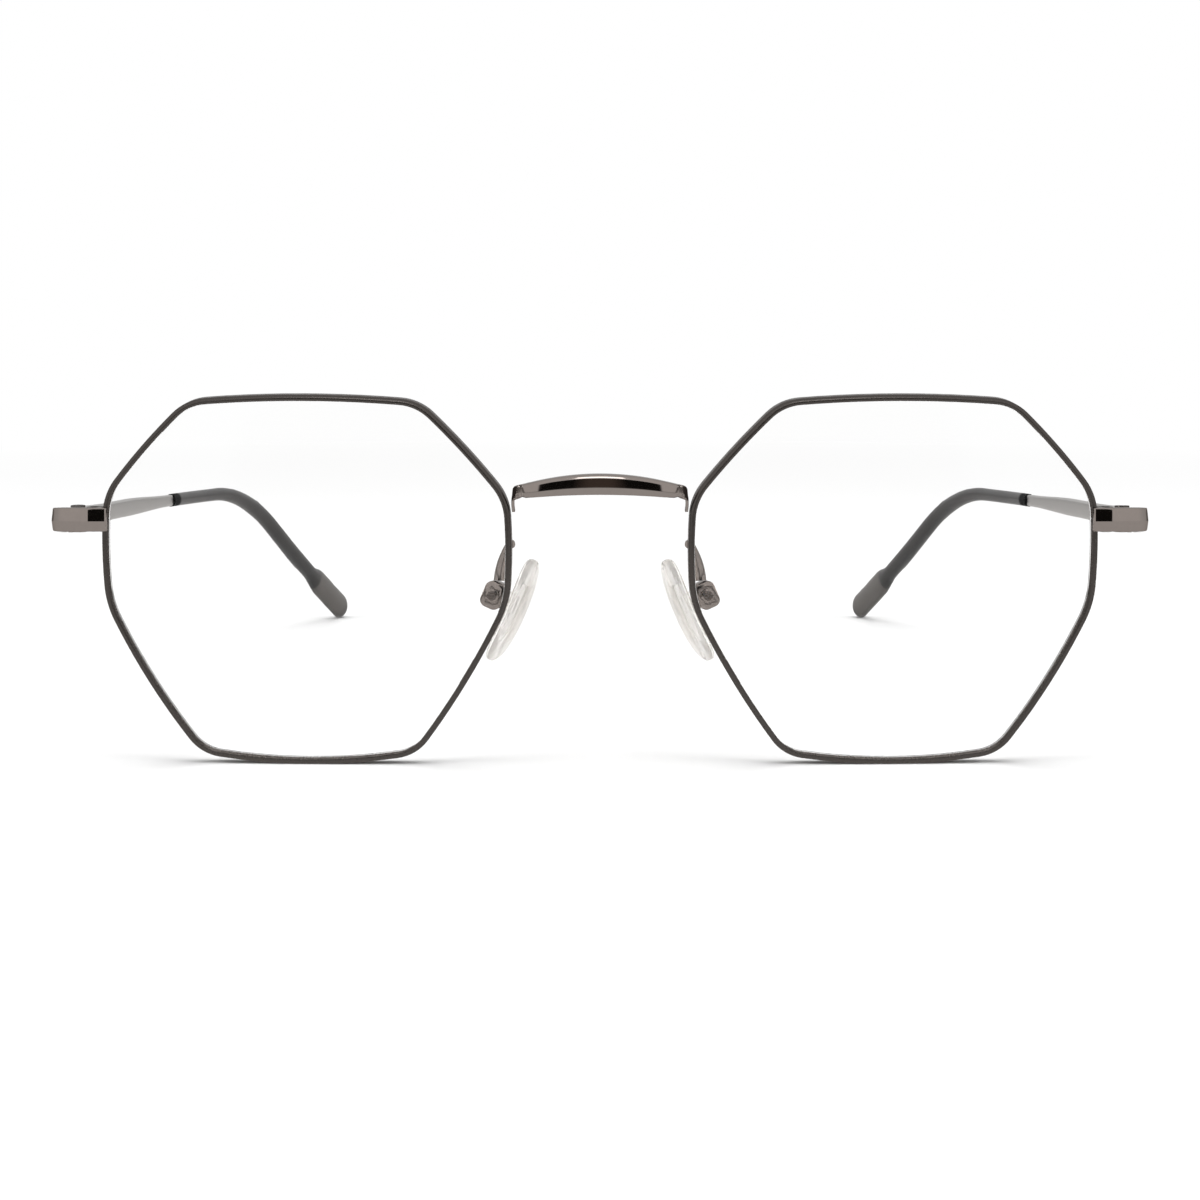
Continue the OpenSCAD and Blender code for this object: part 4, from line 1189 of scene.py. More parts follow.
@dataclass(frozen=True)
class Bridge:
    """The bowed bar over the nose, with an arm and a leg down to each rim."""

    stance: Stance
    outline: LensOutline
    rim_out: float = 0.34
    rim_depth: float = 2.5
    rise: float = 12.4
    width: float = 18.9
    arch: float = 0.9
    reach: float = 2.0
    bow: float = 0.6
    middle_h: float = 2.5
    end_h: float = 1.7
    depth: float = 1.7
    leg: float = 1.5
    leg_t: float = 0.4
    end_bevel: float = 0.35
    end_crease: float = 0.86
    end_slope: float = 0.16
    # Just before the bar's end: heading in degrees, and shares of its height and depth
    end_turn: float = 8.0
    end_shares: tuple[float, float] = (0.47, 0.44)
    # How far back the bar's end and the arm's start lie
    end_backs: tuple[float, float] = (0.25, 0.35)
    # The arm's swing out and down, and where it leads into the leg
    arm_swing: tuple[float, float] = (1.1, 0.3)
    leg_lead: tuple[float, float] = (0.25, 0.5)
    arm_turn: tuple[float, float] = (26.0, 90.0)
    arm_dip: tuple[float, float] = (10.0, 88.0)
    arm_start_share: float = 0.46
    arm_waist: float = 0.8
    leg_share: float = 0.34
    arm_half_t: float = 0.42
    sharp_angle: float = 50.0
    bar_steps: int = 18
    arm_steps: int = 16

    def section(self) -> list[Point2]:
        """Section in half sizes: a flat back, a bevelled top edge and two faces with a crest."""
        corners = ((1.0, 0.76), (0.76, 1.0), (-0.45, 1.0), (-0.72, 0.86), (-0.84, 0.62),
                   (-1.0, -0.3), (-0.86, -0.86), (-0.7, -1.0), (0.76, -1.0), (1.0, -0.76))
        return rounded(corners, 0.1)

    def _station(self, path: Path, centre: Sequence[float], turn: float, dip: float, half_h: float,
                 half_t: float, mirror: float) -> None:
        """Adds a station, mirrored for the other half."""
        a, b = math.radians(turn), math.radians(dip)
        side = (-mirror * math.sin(a), math.cos(a), 0.0)
        up = (-mirror * math.cos(a) * math.sin(b), -math.sin(a) * math.sin(b), math.cos(b))
        path.add((mirror * centre[0], centre[1], centre[2]), side, up, half_t, half_h)

    def _half(self) -> list[tuple[list[float], float, float, float, float]]:
        """Stations of one half, from the middle out to the leg's end."""
        shoulder = self.width / 2
        back = -self.reach + self.depth / 2
        end_back, end_rise = back + self.bow, self.rise - self.arch
        inner = -self.stance.lens_w / 2 - self.rim_out
        nose = self.stance.lens_to_front(
            (inner, self.outline.sag((inner, self.outline.cut_rise)), 0.0))
        leg_x = nose[0] - self.stance.seat_clear - self.leg_t / 2
        leg_top = self.outline.side_rise + self.outline.nose_side / 2
        half = []
        for k in range(self.bar_steps + 1):
            t = k / self.bar_steps
            past_crease = max(0.0, t - self.end_crease) * shoulder * self.end_slope
            half.append(([(shoulder - self.end_bevel) * t, back + self.bow * t * t + past_crease,
                          self.rise - self.arch * t * t],
                         math.degrees(math.atan(2 * self.bow * t / shoulder)),
                         -math.degrees(math.atan(2 * self.arch * t / shoulder)),
                         mix(self.middle_h, self.end_h, t * t) / 2, self.depth / 2))
        half.append(([shoulder - 0.1, end_back + self.end_backs[0], end_rise], self.end_turn,
                     -self.end_turn, self.end_h * self.end_shares[0],
                     self.depth * self.end_shares[1]))
        out, down = self.arm_swing
        way = ((shoulder, end_back + self.end_backs[1], end_rise),
               (shoulder + out, mix(end_back, nose[1], 0.5), end_rise - down),
               (leg_x + self.leg_lead[0], nose[1], leg_top + self.leg_lead[1]),
               (leg_x, nose[1], leg_top - self.leg))
        for k in range(self.arm_steps + 1):
            t = k / self.arm_steps
            tall = mix(mix(self.end_h * self.arm_start_share, self.arm_waist, ease(t * 2)),
                       self.rim_depth * self.leg_share, ease(2 * t - 1))
            half.append((list(bezier(way, t)), mix(*self.arm_turn, ease(t * 1.7)),
                         -mix(*self.arm_dip, ease(t * 1.1)), tall,
                         mix(self.arm_half_t, self.leg_t / 2, ease(t * 1.3))))
        return half

    def build(self, loft: LoftTree, finishes: Finishes) -> None:
        """Makes and dresses the bridge."""
        path, half = Path(), self._half()
        for row in reversed(half[1:]):
            self._station(path, *row, mirror=-1.0)
        for row in half:
            self._station(path, *row, mirror=1.0)
        piece = loft.sweep("bridge_bar", path.placed(self.stance.front(Side.LEFT)),
                           self.section(), finishes[Slot.POLISHED])
        piece.data.set_sharp_from_angle(angle=math.radians(self.sharp_angle))
        dress(piece, Slot.POLISHED, "front", "bridge", finishes)


@dataclass(frozen=True)
class Endpiece:
    """Polished plate from the rim's front, turned back to the hinge."""

    stance: Stance
    outline: LensOutline
    rim_wall: float = 0.72
    rim_out: float = 0.34
    rim_depth: float = 2.5
    crown: float = 0.06
    height: float = 2.95
    turn_r: float = 2.0
    slant: float = 7.0
    proud: float = 0.75
    butt_gap: float = 0.08
    end_bevel: float = 0.08
    crease: float = -0.1
    flat: float = 0.36
    # Past the plate's inner end, wear of its face, and share of its height, station by station
    worn_end: tuple[tuple[float, float, float], ...] = (
        (-0.02, 0.24, 0.93), (0.03, 0.1, 0.96), (0.12, 0.02, 0.99), (0.19, 0.0, 1.0),
        (0.22, 0.0, 1.0))
    # The plate starts past its middle line's start, and its slant sets in quickly after the flat
    plate_lead: float = 0.02
    slant_end: float = 0.98
    slant_rate: float = 20.0
    bevel_angle: float = 50.0
    sharp_angle: float = 6.0
    plate_steps: int = 8
    turn_steps: int = 14
    arm_steps: int = 8

    def section(self) -> list[Point2]:
        """Section in half sizes: two front faces with a crease a little below the middle."""
        corners = ((1.0, self.crease), (0.68, 0.84), (0.613, 0.95), (0.45, 1.0), (-0.62, 1.0),
                   (-1.0, 0.85), (-1.0, -0.85), (-0.62, -1.0), (0.5, -1.0), (0.8, -0.9))
        return rounded(corners, 0.2, keep=(0,))

    def start(self) -> np.ndarray:
        """Where the full plate begins beside the rim, in the hinge frame."""
        facet_reach = self.rim_wall - 0.1
        edge = self.stance.lens_w / 2 + self.rim_out
        sag = self.outline.sag((edge - facet_reach, self.outline.cut_rise - self.height / 2))
        lock_edge = self.stance.lens_to_front((edge, sag, self.outline.cut_rise))
        back = lock_edge[1] - self.rim_depth / 2 - self.crown - self.stance.seat_clear
        middle = back - self.proud + self.stance.endpiece_t / 2
        return self.stance.front_to_hinge(
            (lock_edge[0] + self.stance.seat_clear, middle, self.outline.cut_rise))

    def path(self) -> Path:
        """The plate's way from the rim's front round to the temple."""
        start, tilt = self.start(), self.stance.pantoscopic_tilt
        half_t, half_h = self.stance.endpiece_t / 2, self.height / 2
        a = math.radians(tilt)
        path = Path()
        for past, worn, share_h in (*self.worn_end, (self.rim_wall, 0.0, 1.0)):
            centre = start + np.array(
                [-self.rim_wall + past, worn * math.cos(a), worn * math.sin(a)])
            path.add(centre, (0.0, -math.cos(a), -math.sin(a)), (0.0, -math.sin(a), math.cos(a)),
                     half_t, half_h * share_h, back=1 - (self.proud - worn) / half_t)
        x_mid = self.stance.front_half - half_t
        slant = math.radians(self.slant)
        turn_x = x_mid - self.turn_r * (1 - math.sin(slant))
        run = (turn_x - start[0]) / math.cos(slant)
        turn_y = start[1] + run * math.sin(slant) + self.turn_r * math.cos(slant)

        def add(x: float, y: float, heading: float) -> None:
            """Adds a station of the full plate."""
            settled = ease((y - start[1]) / -start[1])
            lean, h = math.radians(tilt * (1 - settled)), math.radians(heading)
            path.add((x, y, start[2] * (1 - settled)),
                     (math.sin(h), -math.cos(h) * math.cos(lean), -math.cos(h) * math.sin(lean)),
                     (0.0, -math.sin(lean), math.cos(lean)), half_t, half_h)

        slanted = (mix(self.flat, self.slant_end, k / self.plate_steps)
                   for k in range(1, self.plate_steps + 1))
        for t in (0.0, self.flat * 0.5, self.flat * 0.96, self.flat * 1.04, *slanted):
            past = max(0.0, t - self.flat) / (1 - self.flat)
            add(start[0] + self.plate_lead + run * math.cos(slant) * t,
                start[1] + run * math.sin(slant) * past,
                self.slant * min(1.0, past * self.slant_rate))
        for k in range(self.turn_steps + 1):
            h = mix(self.slant, 90.0, k / self.turn_steps)
            add(x_mid - self.turn_r * (1 - math.sin(math.radians(h))),
                turn_y - self.turn_r * math.cos(math.radians(h)), h)
        for k in range(1, self.arm_steps + 1):
            add(x_mid, mix(turn_y, -self.butt_gap / 2, k / self.arm_steps), 90.0)
        return path

    def build(self, side: Side, loft: LoftTree, finishes: Finishes) -> None:
        """Makes and dresses this side's endpiece."""
        node = side.name_of("endpiece")
        piece = loft.sweep(f"{node}_plate", self.path().placed(self.stance.seated(side)),
                           self.section(), finishes[Slot.POLISHED])
        ease_edges(piece, self.end_bevel, angle=self.bevel_angle)
        settle(piece)
        piece.data.set_sharp_from_angle(angle=math.radians(self.sharp_angle))
        dress(piece, Slot.POLISHED, "front", node, finishes)


@dataclass(frozen=True)
class HingeAndLock:
    """Hinge leaves and screw, and the block that shuts the rim on its lens."""

    stance: Stance
    barrel_h: float = 2.9
    screw_r: float = 0.6
    screw_head_h: float = 0.4
    lock_screw_r: float = 0.45
    lock_head_r: float = 0.8
    lock_head_h: float = 0.35
    leaf_bevel: float = 0.07
    head_share: float = 0.88
    shank_short: float = 0.07
    lock_shank_short: float = 0.25
    slot_w: float = 0.26
    lock_slot: tuple[float, float] = (0.24, 0.17)

    def build(self, side: Side, screws: ScrewTree, finishes: Finishes) -> None:
        """Makes and dresses this side's hinge and lock."""
        blocks = (("hinge_front_leaf", Slot.POLISHED, "front"),
                  ("hinge_temple_leaf", Slot.STEEL, side.name_of("temple")),
                  ("rim_lock_upper", Slot.GUNMETAL, "front"),
                  ("rim_lock_lower", Slot.GUNMETAL, "front"))
        for base, slot, body in blocks:
            node = side.name_of(base)
            dress(softened_node(node, self.leaf_bevel), slot, body, node, finishes)
        node = side.name_of("hinge_screw")
        top = self.stance.seated(side) @ Matrix.Translation(
            (self.stance.hinge_x, 0.0, self.barrel_h / 2 + self.stance.seat_clear))
        piece = screws.make(f"{node}_slotted", {
            "Shank Radius": self.screw_r, "Shank Length": self.barrel_h - self.shank_short,
            "Head Radius": self.stance.barrel_r * self.head_share,
            "Head Height": self.screw_head_h, "Slot Width": self.slot_w,
            "Slot Depth": self.screw_head_h / 2}, top, finishes[Slot.GUNMETAL])
        dress(piece, Slot.GUNMETAL, "front", node, finishes)
        node = side.name_of("rim_lock_screw")
        low, high = (Vector(c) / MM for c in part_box(node))
        middle = (low + high) / 2
        axis = self.stance.front(side).to_3x3() @ Vector((0.0, 0.0, 1.0))
        length = (high.z - low.z) - self.lock_head_h
        under = middle - axis * (length / 2 - self.lock_head_h / 2)
        turn = self.stance.front(side).to_3x3().normalized() @ Matrix.Rotation(math.pi, 3, "X")
        piece = screws.make(f"{node}_slotted", {
            "Shank Radius": self.lock_screw_r, "Shank Length": length - self.lock_shank_short,
            "Head Radius": self.lock_head_r, "Head Height": self.lock_head_h - 0.02,
            "Slot Width": self.lock_slot[0], "Slot Depth": self.lock_slot[1]},
            Matrix.Translation(under) @ turn.to_4x4(), finishes[Slot.STEEL])
        dress(piece, Slot.STEEL, "front", node, finishes)


@dataclass(frozen=True)
class Temple:
    """One temple: the flat metal strip, the core wire behind it and the sleeve over the core."""

    stance: Stance
    length: float = 140.0
    bend_at: float = 83.5
    bend_r: float = 47.0
    drop_angle: float = 30.0
    curve_at: float = 15.0
    hug_r: float = 309.0
    thickness: float = 1.0
    height: float = 2.4
    root_h: float = 2.95
    neck_h: float = 1.65
    wedge_len: float = 30.0
    neck_len: float = 22.0
    core_h: float = 1.2
    core_t: float = 0.8
    tip_len: float = 77.0
    sleeve_h: float = 1.9
    sleeve_t: float = 1.5
    drop_h: float = 2.5
    paddle_h: float = 4.3
    paddle_t: float = 2.3
    paddle_len: float = 15.0
    widening: float = 4.0
    core_stop: float = 10.0
    butt_gap: float = 0.08
    strip_stop: float = 0.5
    neck_stop: float = 0.6
    swell_start: float = 4.0
    swell_len: float = 24.0
    round_end: float = 0.985
    least_h: float = 0.0004
    least_t: float = 0.0016
    hole_gap_t: float = 0.2
    hole_gap_h: float = 0.12
    strip_steps: int = 36
    core_steps: int = 60
    paddle_steps: int = 10
    round_steps: int = 14

    def _turns(self, s: float) -> tuple[float, float, float]:
        """Run along the side view, drop bend and inward turn at length s."""
        bend = max(0.0, min(math.radians(self.drop_angle), (s - self.bend_at) / self.bend_r))
        past = max(0.0, s - self.bend_at - self.bend_r * math.radians(self.drop_angle))
        run = (min(s, self.bend_at) + self.bend_r * math.sin(bend)
               + past * math.cos(math.radians(self.drop_angle)))
        return run, bend, max(0.0, run - self.curve_at) / self.hug_r

    def _add(self, path: Path, s: float, half_t: float, half_h: float) -> None:
        """Adds a station at length s from the pin."""
        run, bend, hug = self._turns(s)
        past = max(0.0, s - self.bend_at - self.bend_r * math.radians(self.drop_angle))
        drop = ((self.root_h - self.height) / 2 * ease(s / self.wedge_len)
                + self.bend_r * (1 - math.cos(bend))
                + past * math.sin(math.radians(self.drop_angle)))
        x = self.stance.hinge_x + self.stance.barrel_r + self.stance.seat_clear + self.thickness / 2
        centre = (x - self.hug_r * (1 - math.cos(hug)),
                  min(run, self.curve_at) + self.hug_r * math.sin(hug), -drop)
        up = (-math.sin(hug) * math.sin(bend), math.cos(hug) * math.sin(bend), math.cos(bend))
        path.add(centre, (math.cos(hug), math.sin(hug), 0.0), up, half_t, half_h, s / self.length)

    def strip_section(self) -> list[Point2]:
        """Section of the metal in half sizes: flat, with a low crown outside."""
        corners = ((1.0, 0.0), (0.93, 0.62), (0.8, 0.9), (0.5, 1.0), (-0.56, 1.0), (-1.0, 0.84),
                   (-1.0, -0.84), (-0.56, -1.0), (0.5, -1.0), (0.8, -0.9), (0.93, -0.62))
        return rounded(corners, 0.2)

    def metal_path(self) -> Path:
        """The strip, then the core wire in the sleeve."""
        path = Path()
        mouth = self.length - self.tip_len
        start, end = self.butt_gap / 2, mouth - self.strip_stop
        for k in range(self.strip_steps + 1):
            s = mix(start, end, k / self.strip_steps)
            narrow = mouth - self.neck_stop - self.neck_len
            tall = mix(mix(self.root_h, self.height, ease(s / self.wedge_len)), self.neck_h,
                       ease((s - narrow) / self.neck_len))
            self._add(path, s, self.thickness / 2, tall / 2)
        # The wire stops a little short of the end of its hole
        core_end = self.length - self.core_stop - self.tip_len / 22
        for k in range(self.core_steps + 1):
            self._add(path, mix(mouth, core_end, k / self.core_steps), self.core_t / 2,
                      self.core_h / 2)
        return path

    def sleeve_path(self) -> Path:
        """Up inside the sleeve to its mouth, then back over the outside to the paddle's end."""
        path = Path()
        mouth, core_end = self.length - self.tip_len, self.length - self.core_stop
        for k in range(self.core_steps, -1, -1):
            self._add(path, mix(mouth, core_end, k / self.core_steps),
                      self.core_t / 2 + self.hole_gap_t, self.core_h / 2 + self.hole_gap_h)
        nose = self.paddle_h / 2
        outer = [mix(mouth, core_end, k / self.core_steps) for k in range(self.core_steps + 1)]
        outer += [mix(core_end, self.length - nose, k / self.paddle_steps)
                  for k in range(1, self.paddle_steps + 1)]
        turns = (math.radians(90 * k / self.round_steps * self.round_end)
                 for k in range(1, self.round_steps + 1))
        outer += [self.length - nose * (1 - math.sin(turn)) for turn in turns]
        for s in outer:
            past_bend = ease((s - self.bend_at + self.swell_start) / self.swell_len)
            slim = mix(self.sleeve_h, self.drop_h, past_bend)
            grown = ease((s - self.length + self.paddle_len) / self.widening)
            over = max(0.0, s - self.length + nose) / nose
            tall = mix(slim, self.paddle_h, grown) * math.sqrt(max(self.least_h, 1 - over * over))
            thick = mix(self.sleeve_t, self.paddle_t, past_bend)
            thick *= math.sqrt(max(self.least_t, 1 - over**3))
            self._add(path, s, thick / 2, tall / 2)
        return path

    def build(self, side: Side, loft: LoftTree, finishes: Finishes) -> None:
        """Makes and dresses this side's temple and tip."""
        place, body = self.stance.seated(side), side.name_of("temple")
        metal = loft.sweep(f"{body}_strip", self.metal_path().placed(place),
                           self.strip_section(), finishes[Slot.TEMPLE])
        dress(metal, Slot.TEMPLE, body, body, finishes)
        node = side.name_of("temple_tip")
        sleeve = loft.sweep(f"{node}_sleeve", self.sleeve_path().placed(place), oval(24),
                            finishes[Slot.SLEEVE])
        dress(sleeve, Slot.SLEEVE, body, node, finishes)


@dataclass(frozen=True)
class NosePad:
    """One nose pad with its insert, box, screw and the arm that carries it."""

    stance: Stance
    outline: LensOutline
    rim_out: float = 0.34
    rim_depth: float = 2.5
    length: float = 13.8
    width: float = 7.2
    thickness: float = 1.95
    fullness: float = 0.52
    squareness: float = 0.66
    curl: float = 0.5
    screw_x: float = 13.3
    screw_back: float = 7.6
    screw_drop: float = 2.7
    lean: float = 23.0
    splay: float = 12.0
    reach: float = 3.35
    offset: float = 0.85
    box_h: float = 3.4
    box_t: float = 2.5
    screw_r: float = 0.45
    head_r: float = 0.85
    head_h: float = 0.35
    ring_depth: float = 0.14
    arm_r: float = 0.5
    arm_flare: float = 0.35
    flare_start: float = 0.45
    arm_root_z: float = 4.3
    arm_root_x: float = 0.15
    arm_end: tuple[float, float, float] = (0.55, 0.3, 0.15)
    arm_lead_out: tuple[float, float, float] = (0.0, 2.6, 0.4)
    arm_lead_in: tuple[float, float, float] = (-0.35, 0.5, 3.4)
    insert_bevel: float = 0.12
    box_bevel: float = 0.28
    taper: float = 0.1
    arm_steps: int = 40
    loops: int = 24
    points: int = 64

    def place(self, side: Side) -> Matrix:
        """Frame of the pad's screw: x away from the nose, y along the screw, z up the pad."""
        return (self.stance.front(side)
                @ Matrix.Translation((self.screw_x, self.screw_back, -self.screw_drop))
                @ Matrix.Rotation(math.radians(-self.lean), 4, "Y")
                @ Matrix.Rotation(math.radians(self.splay), 4, "Z"))

    @staticmethod
    def _fuller(a: float, power: float) -> float:
        """A sine or cosine drawn out, for an oval with fuller corners."""
        return math.copysign(abs(a) ** power, a)

    def pad_mesh(self, name: str, side: Side) -> bpy.types.Mesh:
        """The pad: a full cushion, wider at the bottom, that curls from the nose at its ends."""
        loops = []
        for j in range(1, self.loops):
            turn = math.pi * j / self.loops
            k = math.sin(turn) ** self.fullness
            x = self._fuller(math.cos(turn), self.fullness) * 0.5 * self.thickness
            made = []
            for i in range(self.points):
                t = 2 * math.pi * i / self.points
                z = self._fuller(math.sin(t), self.squareness) * k
                y = self._fuller(math.cos(t), self.squareness) * (1 - self.taper * math.sin(t)) * k
                made.append((x + self.curl * z * z - self.reach, y * self.width / 2,
                             z * self.length / 2 - self.offset))
            loops.append(put(np.array(made), self.place(side)))
        half = self.thickness / 2
        ends = put(np.array([[half - self.reach, 0.0, -self.offset],
                             [-half - self.reach, 0.0, -self.offset]]), self.place(side))
        return shell_mesh(name, ends[0], loops, ends[1])

    def arm_path(self) -> Path:
        """The wire from the rim's back, round behind the rim and down to the box."""
        inner = -self.stance.lens_w / 2 - self.rim_out
        rim_back = self.outline.sag((inner, self.arm_root_z)) + self.rim_depth / 2
        rim = self.stance.lens_to_front((inner, rim_back, self.arm_root_z))
        root = np.array([rim[0] + self.arm_root_x, rim[1] + 2.5 * self.stance.seat_clear,
                         self.arm_root_z])
        inset, ahead, above = self.arm_end
        end = np.array([self.screw_x - inset, self.screw_back - ahead,
                        -self.screw_drop + self.box_h / 2 + above])
        way = [root, root + np.array(self.arm_lead_out), end + np.array(self.arm_lead_in), end]
        path = Path()
        for k in range(self.arm_steps + 1):
            t = k / self.arm_steps
            d = unit(bezier(way, min(1.0, t + 0.01)) - bezier(way, max(0.0, t - 0.01)))
            u = unit(np.cross(d, [1.0, 0.0, 0.0]))
            wide = self.arm_r * (1 + self.arm_flare * ease((t - self.flare_start) / 0.5))
            path.add(bezier(way, t), u, np.cross(d, u), self.arm_r, wide)
        return path

    def screw_profile(self) -> list[Point2]:
        """Half section of the turned pad screw: shank, domed head and two fine rings in it."""
        face, r, ring, end = self.head_h, self.head_r, self.ring_depth, -self.box_t
        shank = [(0.0, end - 0.04), (self.screw_r * 0.8, end - 0.04), (self.screw_r, end + 0.1),
                 (self.screw_r, 0.0)]
        dome = [(r - 0.03, 0.0), (r, 0.03), (r, face * 0.7), (r * 0.93, face * 0.92)]
        rings = [(r * share, face - depth) for share, depth in (
            (0.72, 0), (0.7, ring), (0.58, ring), (0.56, 0), (0.34, 0), (0.32, ring), (0.2, ring),
            (0.18, 0), (0.0, 0))]
        return shank + dome + rings

    def build(self, side: Side, loft: LoftTree, finishes: Finishes) -> None:
        """Makes and dresses this side's pad, insert, box, screw and arm."""
        body = side.name_of("nose_pad")
        pad = new_piece(f"{body}_cushion", self.pad_mesh(f"{body}_cushion", side))
        dress(pad, Slot.SILICONE, body, body, finishes)
        node = side.name_of("pad_insert")
        dress(softened_node(node, self.insert_bevel), Slot.CLEAR_CORE, body, node, finishes)
        node = side.name_of("pad_box")
        box = softened_node(node, self.box_bevel, segments=4, angle=40.0)
        dress(box, Slot.POLISHED, "front", node, finishes)
        node = side.name_of("pad_arm")
        arm = loft.sweep(f"{node}_wire", self.arm_path().placed(self.stance.front(side)),
                         oval(20), finishes[Slot.POLISHED])
        dress(arm, Slot.POLISHED, "front", node, finishes)
        node = side.name_of("pad_screw")
        place = (self.place(side)
                 @ Matrix.Translation((0.0, -self.box_t / 2 - self.stance.seat_clear, 0.0))
                 @ Matrix.Rotation(math.pi / 2, 4, "X"))
        screw = loft.sweep(f"{node}_turned", turned_path().placed(place),
                           self.screw_profile(), finishes[Slot.POLISHED])
        dress(screw, Slot.POLISHED, "front", node, finishes)


# The studio


@dataclass(frozen=True)
class Floor:
    """Pale floor that keeps the object's shadow, and whitens away from it to hide its far edge.

    Reaches are distances from the middle in metres.
    """

    half_size: float = 4.0
    matt: float = 0.685
    white_reach: tuple[float, float] = (0.16, 0.5)
    table_reach: tuple[float, float] = (0.24, 0.42)
    table: Colour = (0.9, 0.885, 0.875)
    beyond: Colour = (0.34, 0.33, 0.32)

    def build(self) -> None:
        """Adds the floor, which gloss sees as a table with a darker room beyond it."""
        s = self.half_size
        mesh = bpy.data.meshes.new("floor")
        mesh.from_pydata([(-s, -s, 0.0), (s, -s, 0.0), (s, s, 0.0), (-s, s, 0.0)], [],
                         [(0, 1, 2, 3)])
        floor = new_piece("floor", mesh)
        material, kit, shader = start_material("pale_floor")
        kit.tree.nodes.remove(shader)
        distance = kit.add("ShaderNodeVectorMath", operation="LENGTH")
        kit.link(kit.place(), distance.inputs[0])
        away = kit.ranged(distance.outputs["Value"], 0.0, 1.0, *self.white_reach)
        past_table = kit.ranged(distance.outputs["Value"], 0.0, 1.0, *self.table_reach)
        seen, mirrored = kit.ray_kinds()
        table = kit.blend(past_table, opaque(self.table), opaque(self.beyond))
        matt = kit.feed(kit.add("ShaderNodeBsdfDiffuse"), Color=grey(self.matt))
        glow = kit.feed(kit.add("ShaderNodeEmission"), Strength=1.0,
                        Color=kit.blend(mirrored, grey(1.0), table))
        kit.mix_shaders(kit.math("MAXIMUM", kit.math("MULTIPLY", seen, away), mirrored), matt, glow)
        mesh.materials.append(material)


@dataclass(frozen=True)
class Room:
    """Soft light from all round, white where it is seen, and darker where gloss meets the front.

    Bands are parts of the view direction: X across, Y to the back and Z up.
    """

    front_band: tuple[float, float] = (0.0, -0.6)
    dark_band: tuple[float, float] = (-0.935, -0.95)
    ceiling_band: tuple[float, float] = (0.7, 0.85)
    strip_low: tuple[float, float] = (0.4, 0.42)
    strip_high: tuple[float, float] = (0.56, 0.54)
    strip_across: tuple[float, float] = (0.13, 0.145)
    warm_across: tuple[float, float] = (0.05, 0.12)
    lit: float = 0.5
    side: float = 0.85
    ceiling: float = 0.9
    strip: float = 5.0
    front: Colour = (1.0, 0.98, 0.97)
    dark: Colour = (0.012, 0.011, 0.01)
    warm: Colour = (0.12, 0.09, 0.075)

    def build(self) -> None:
        """Adds the room as the scene's world."""
        world = bpy.data.worlds.new("studio")
        bpy.context.scene.world = world
        world.use_nodes = True
        kit = NodeTree(world.node_tree)
        way = kit.add("ShaderNodeSeparateXYZ")
        kit.link(kit.add("ShaderNodeTexCoord").outputs["Generated"], way.inputs[0])
        across = kit.math("ABSOLUTE", way.outputs["X"])
        back, up = way.outputs["Y"], way.outputs["Z"]
        front = kit.ranged(back, 0.0, 1.0, *self.front_band)
        strip = kit.math("MULTIPLY", kit.ranged(up, 0.0, 1.0, *self.strip_low),
                         kit.ranged(up, 0.0, 1.0, *self.strip_high))
        strip = kit.math("MULTIPLY", strip, kit.math(
            "MULTIPLY", kit.ranged(across, 1.0, 0.0, *self.strip_across), front))
        warm = kit.blend(kit.ranged(across, 1.0, 0.0, *self.warm_across), opaque(self.dark),
                         opaque(self.warm))
        room = kit.blend(front, grey(self.side), opaque(self.front))
        room = kit.blend(kit.ranged(up, 0.0, 1.0, *self.ceiling_band), room, grey(self.ceiling))
        room = kit.blend(kit.ranged(back, 0.0, 1.0, *self.dark_band), room, warm)
        room = kit.blend(strip, room, grey(self.strip))
        seen, mirrored = kit.ray_kinds()
        lit = kit.blend(seen, grey(self.lit), grey(1.0))
        background = world.node_tree.nodes["Background"]
        kit.link(kit.blend(mirrored, lit, room), background.inputs["Color"])


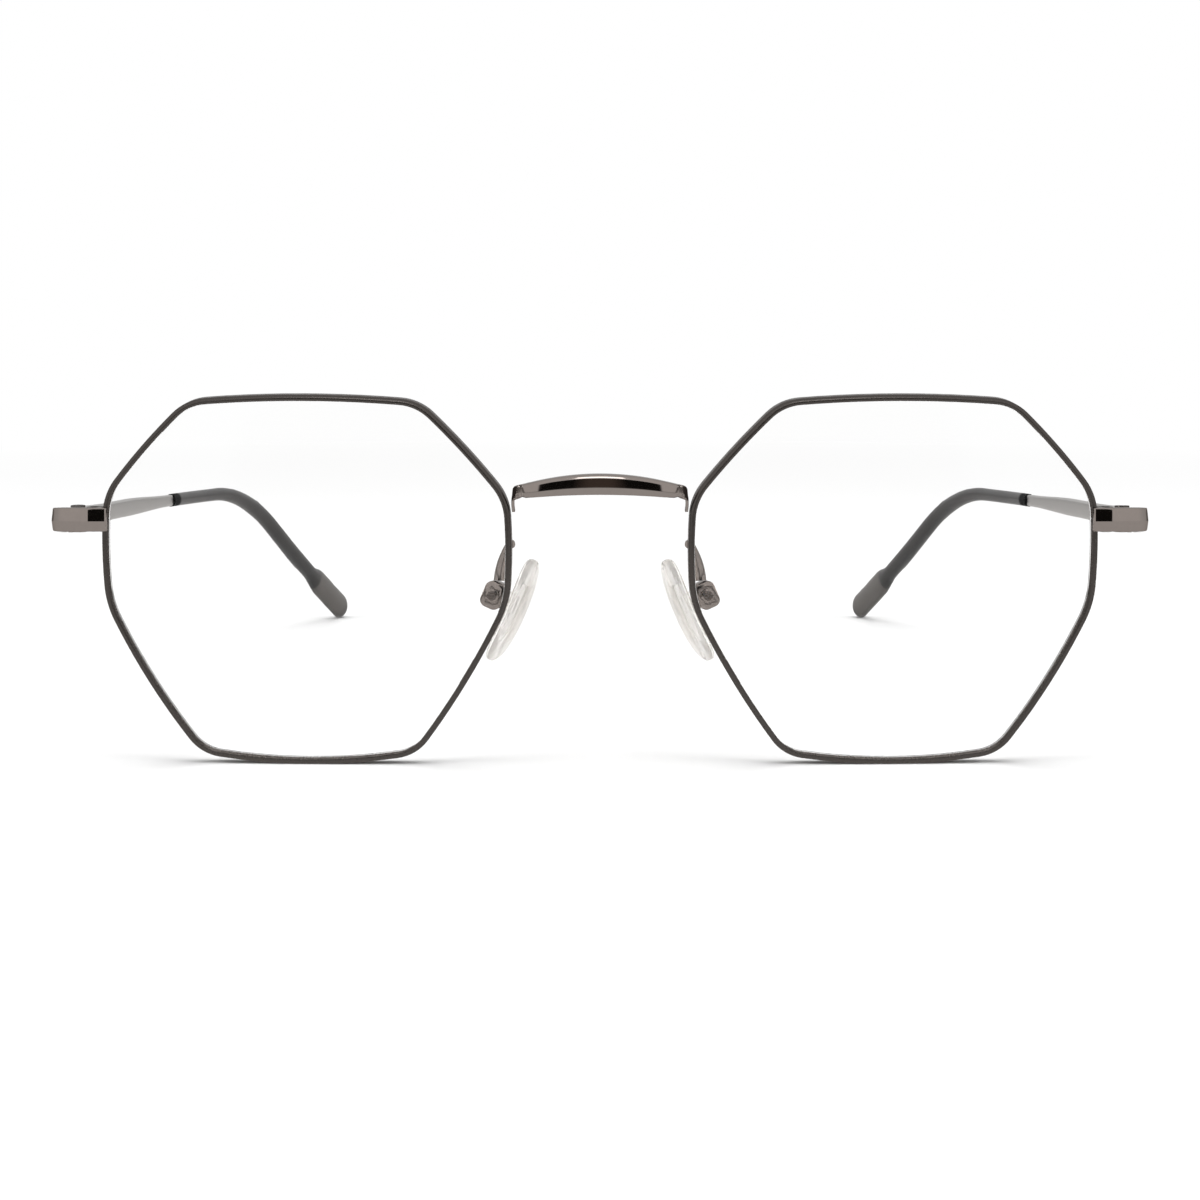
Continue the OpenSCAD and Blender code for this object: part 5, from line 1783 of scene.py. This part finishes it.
@dataclass(frozen=True)
class Lamp:
    """A soft box: its place, what it looks at, its size and power."""

    name: str
    place: tuple[float, float, float]
    target: tuple[float, float, float]
    size: tuple[float, float]
    power: float

    def build(self) -> None:
        """Adds the lamp."""
        data = bpy.data.lights.new(self.name, "AREA")
        data.shape = "RECTANGLE"
        data.size, data.size_y = self.size
        data.energy = self.power
        lamp = bpy.data.objects.new(self.name, data)
        way = Vector(self.target) - Vector(self.place)
        turn = way.to_track_quat("-Z", "Y").to_matrix().to_4x4()
        lamp.matrix_world = Matrix.Translation(self.place) @ turn
        lamp.visible_glossy = False
        bpy.context.scene.collection.objects.link(lamp)


@dataclass(frozen=True)
class PhotoCamera:
    """Camera at the photograph's place and angle, in metres, millimetres of film and degrees."""

    distance: float = 0.41019
    height: float = 0.06484
    look_down: float = 7.34
    film: float = 36.0
    focal_length: float = 83.76
    clip: tuple[float, float] = (0.01, 20.0)

    def build(self) -> None:
        """Adds the camera and looks through it."""
        data = bpy.data.cameras.new("camera")
        data.sensor_width, data.lens = self.film, self.focal_length
        data.clip_start, data.clip_end = self.clip
        camera = bpy.data.objects.new("camera", data)
        camera.location = (0.0, -self.distance, self.height)
        camera.rotation_euler = Euler((math.radians(90.0 - self.look_down), 0.0, 0.0))
        bpy.context.scene.collection.objects.link(camera)
        bpy.context.scene.camera = camera


def main() -> None:
    """Builds the glasses, then the studio round them."""
    logging.basicConfig(level=logging.INFO, format="%(message)s")
    bpy.context.scene.view_settings.view_transform = "Standard"
    finishes, loft, screws = Finishes(), LoftTree(), ScrewTree()
    stance, outline = Stance(), LensOutline()
    Bridge(stance, outline).build(loft, finishes)
    for side in Side:
        RimAndLens(stance, outline).build(side, loft, finishes)
        Endpiece(stance, outline).build(side, loft, finishes)
        HingeAndLock(stance).build(side, screws, finishes)
        Temple(stance).build(side, loft, finishes)
        NosePad(stance, outline).build(side, loft, finishes)
    Floor().build()
    Room().build()
    for lamp in (
        Lamp("top_box", place=(0.0, 0.05, 0.75), target=(0.0, 0.0, 0.0), size=(0.9, 0.9), power=7.0),
        Lamp("left_box", (-0.7, -0.25, 0.35), target=(0.0, 0.0, 0.02), size=(0.5, 0.5), power=3.0),
        Lamp("right_box", (0.7, -0.25, 0.35), target=(0.0, 0.0, 0.02), size=(0.5, 0.5), power=3.0),
    ):
        lamp.build()
    PhotoCamera().build()


if __name__ == "__main__":
    main()
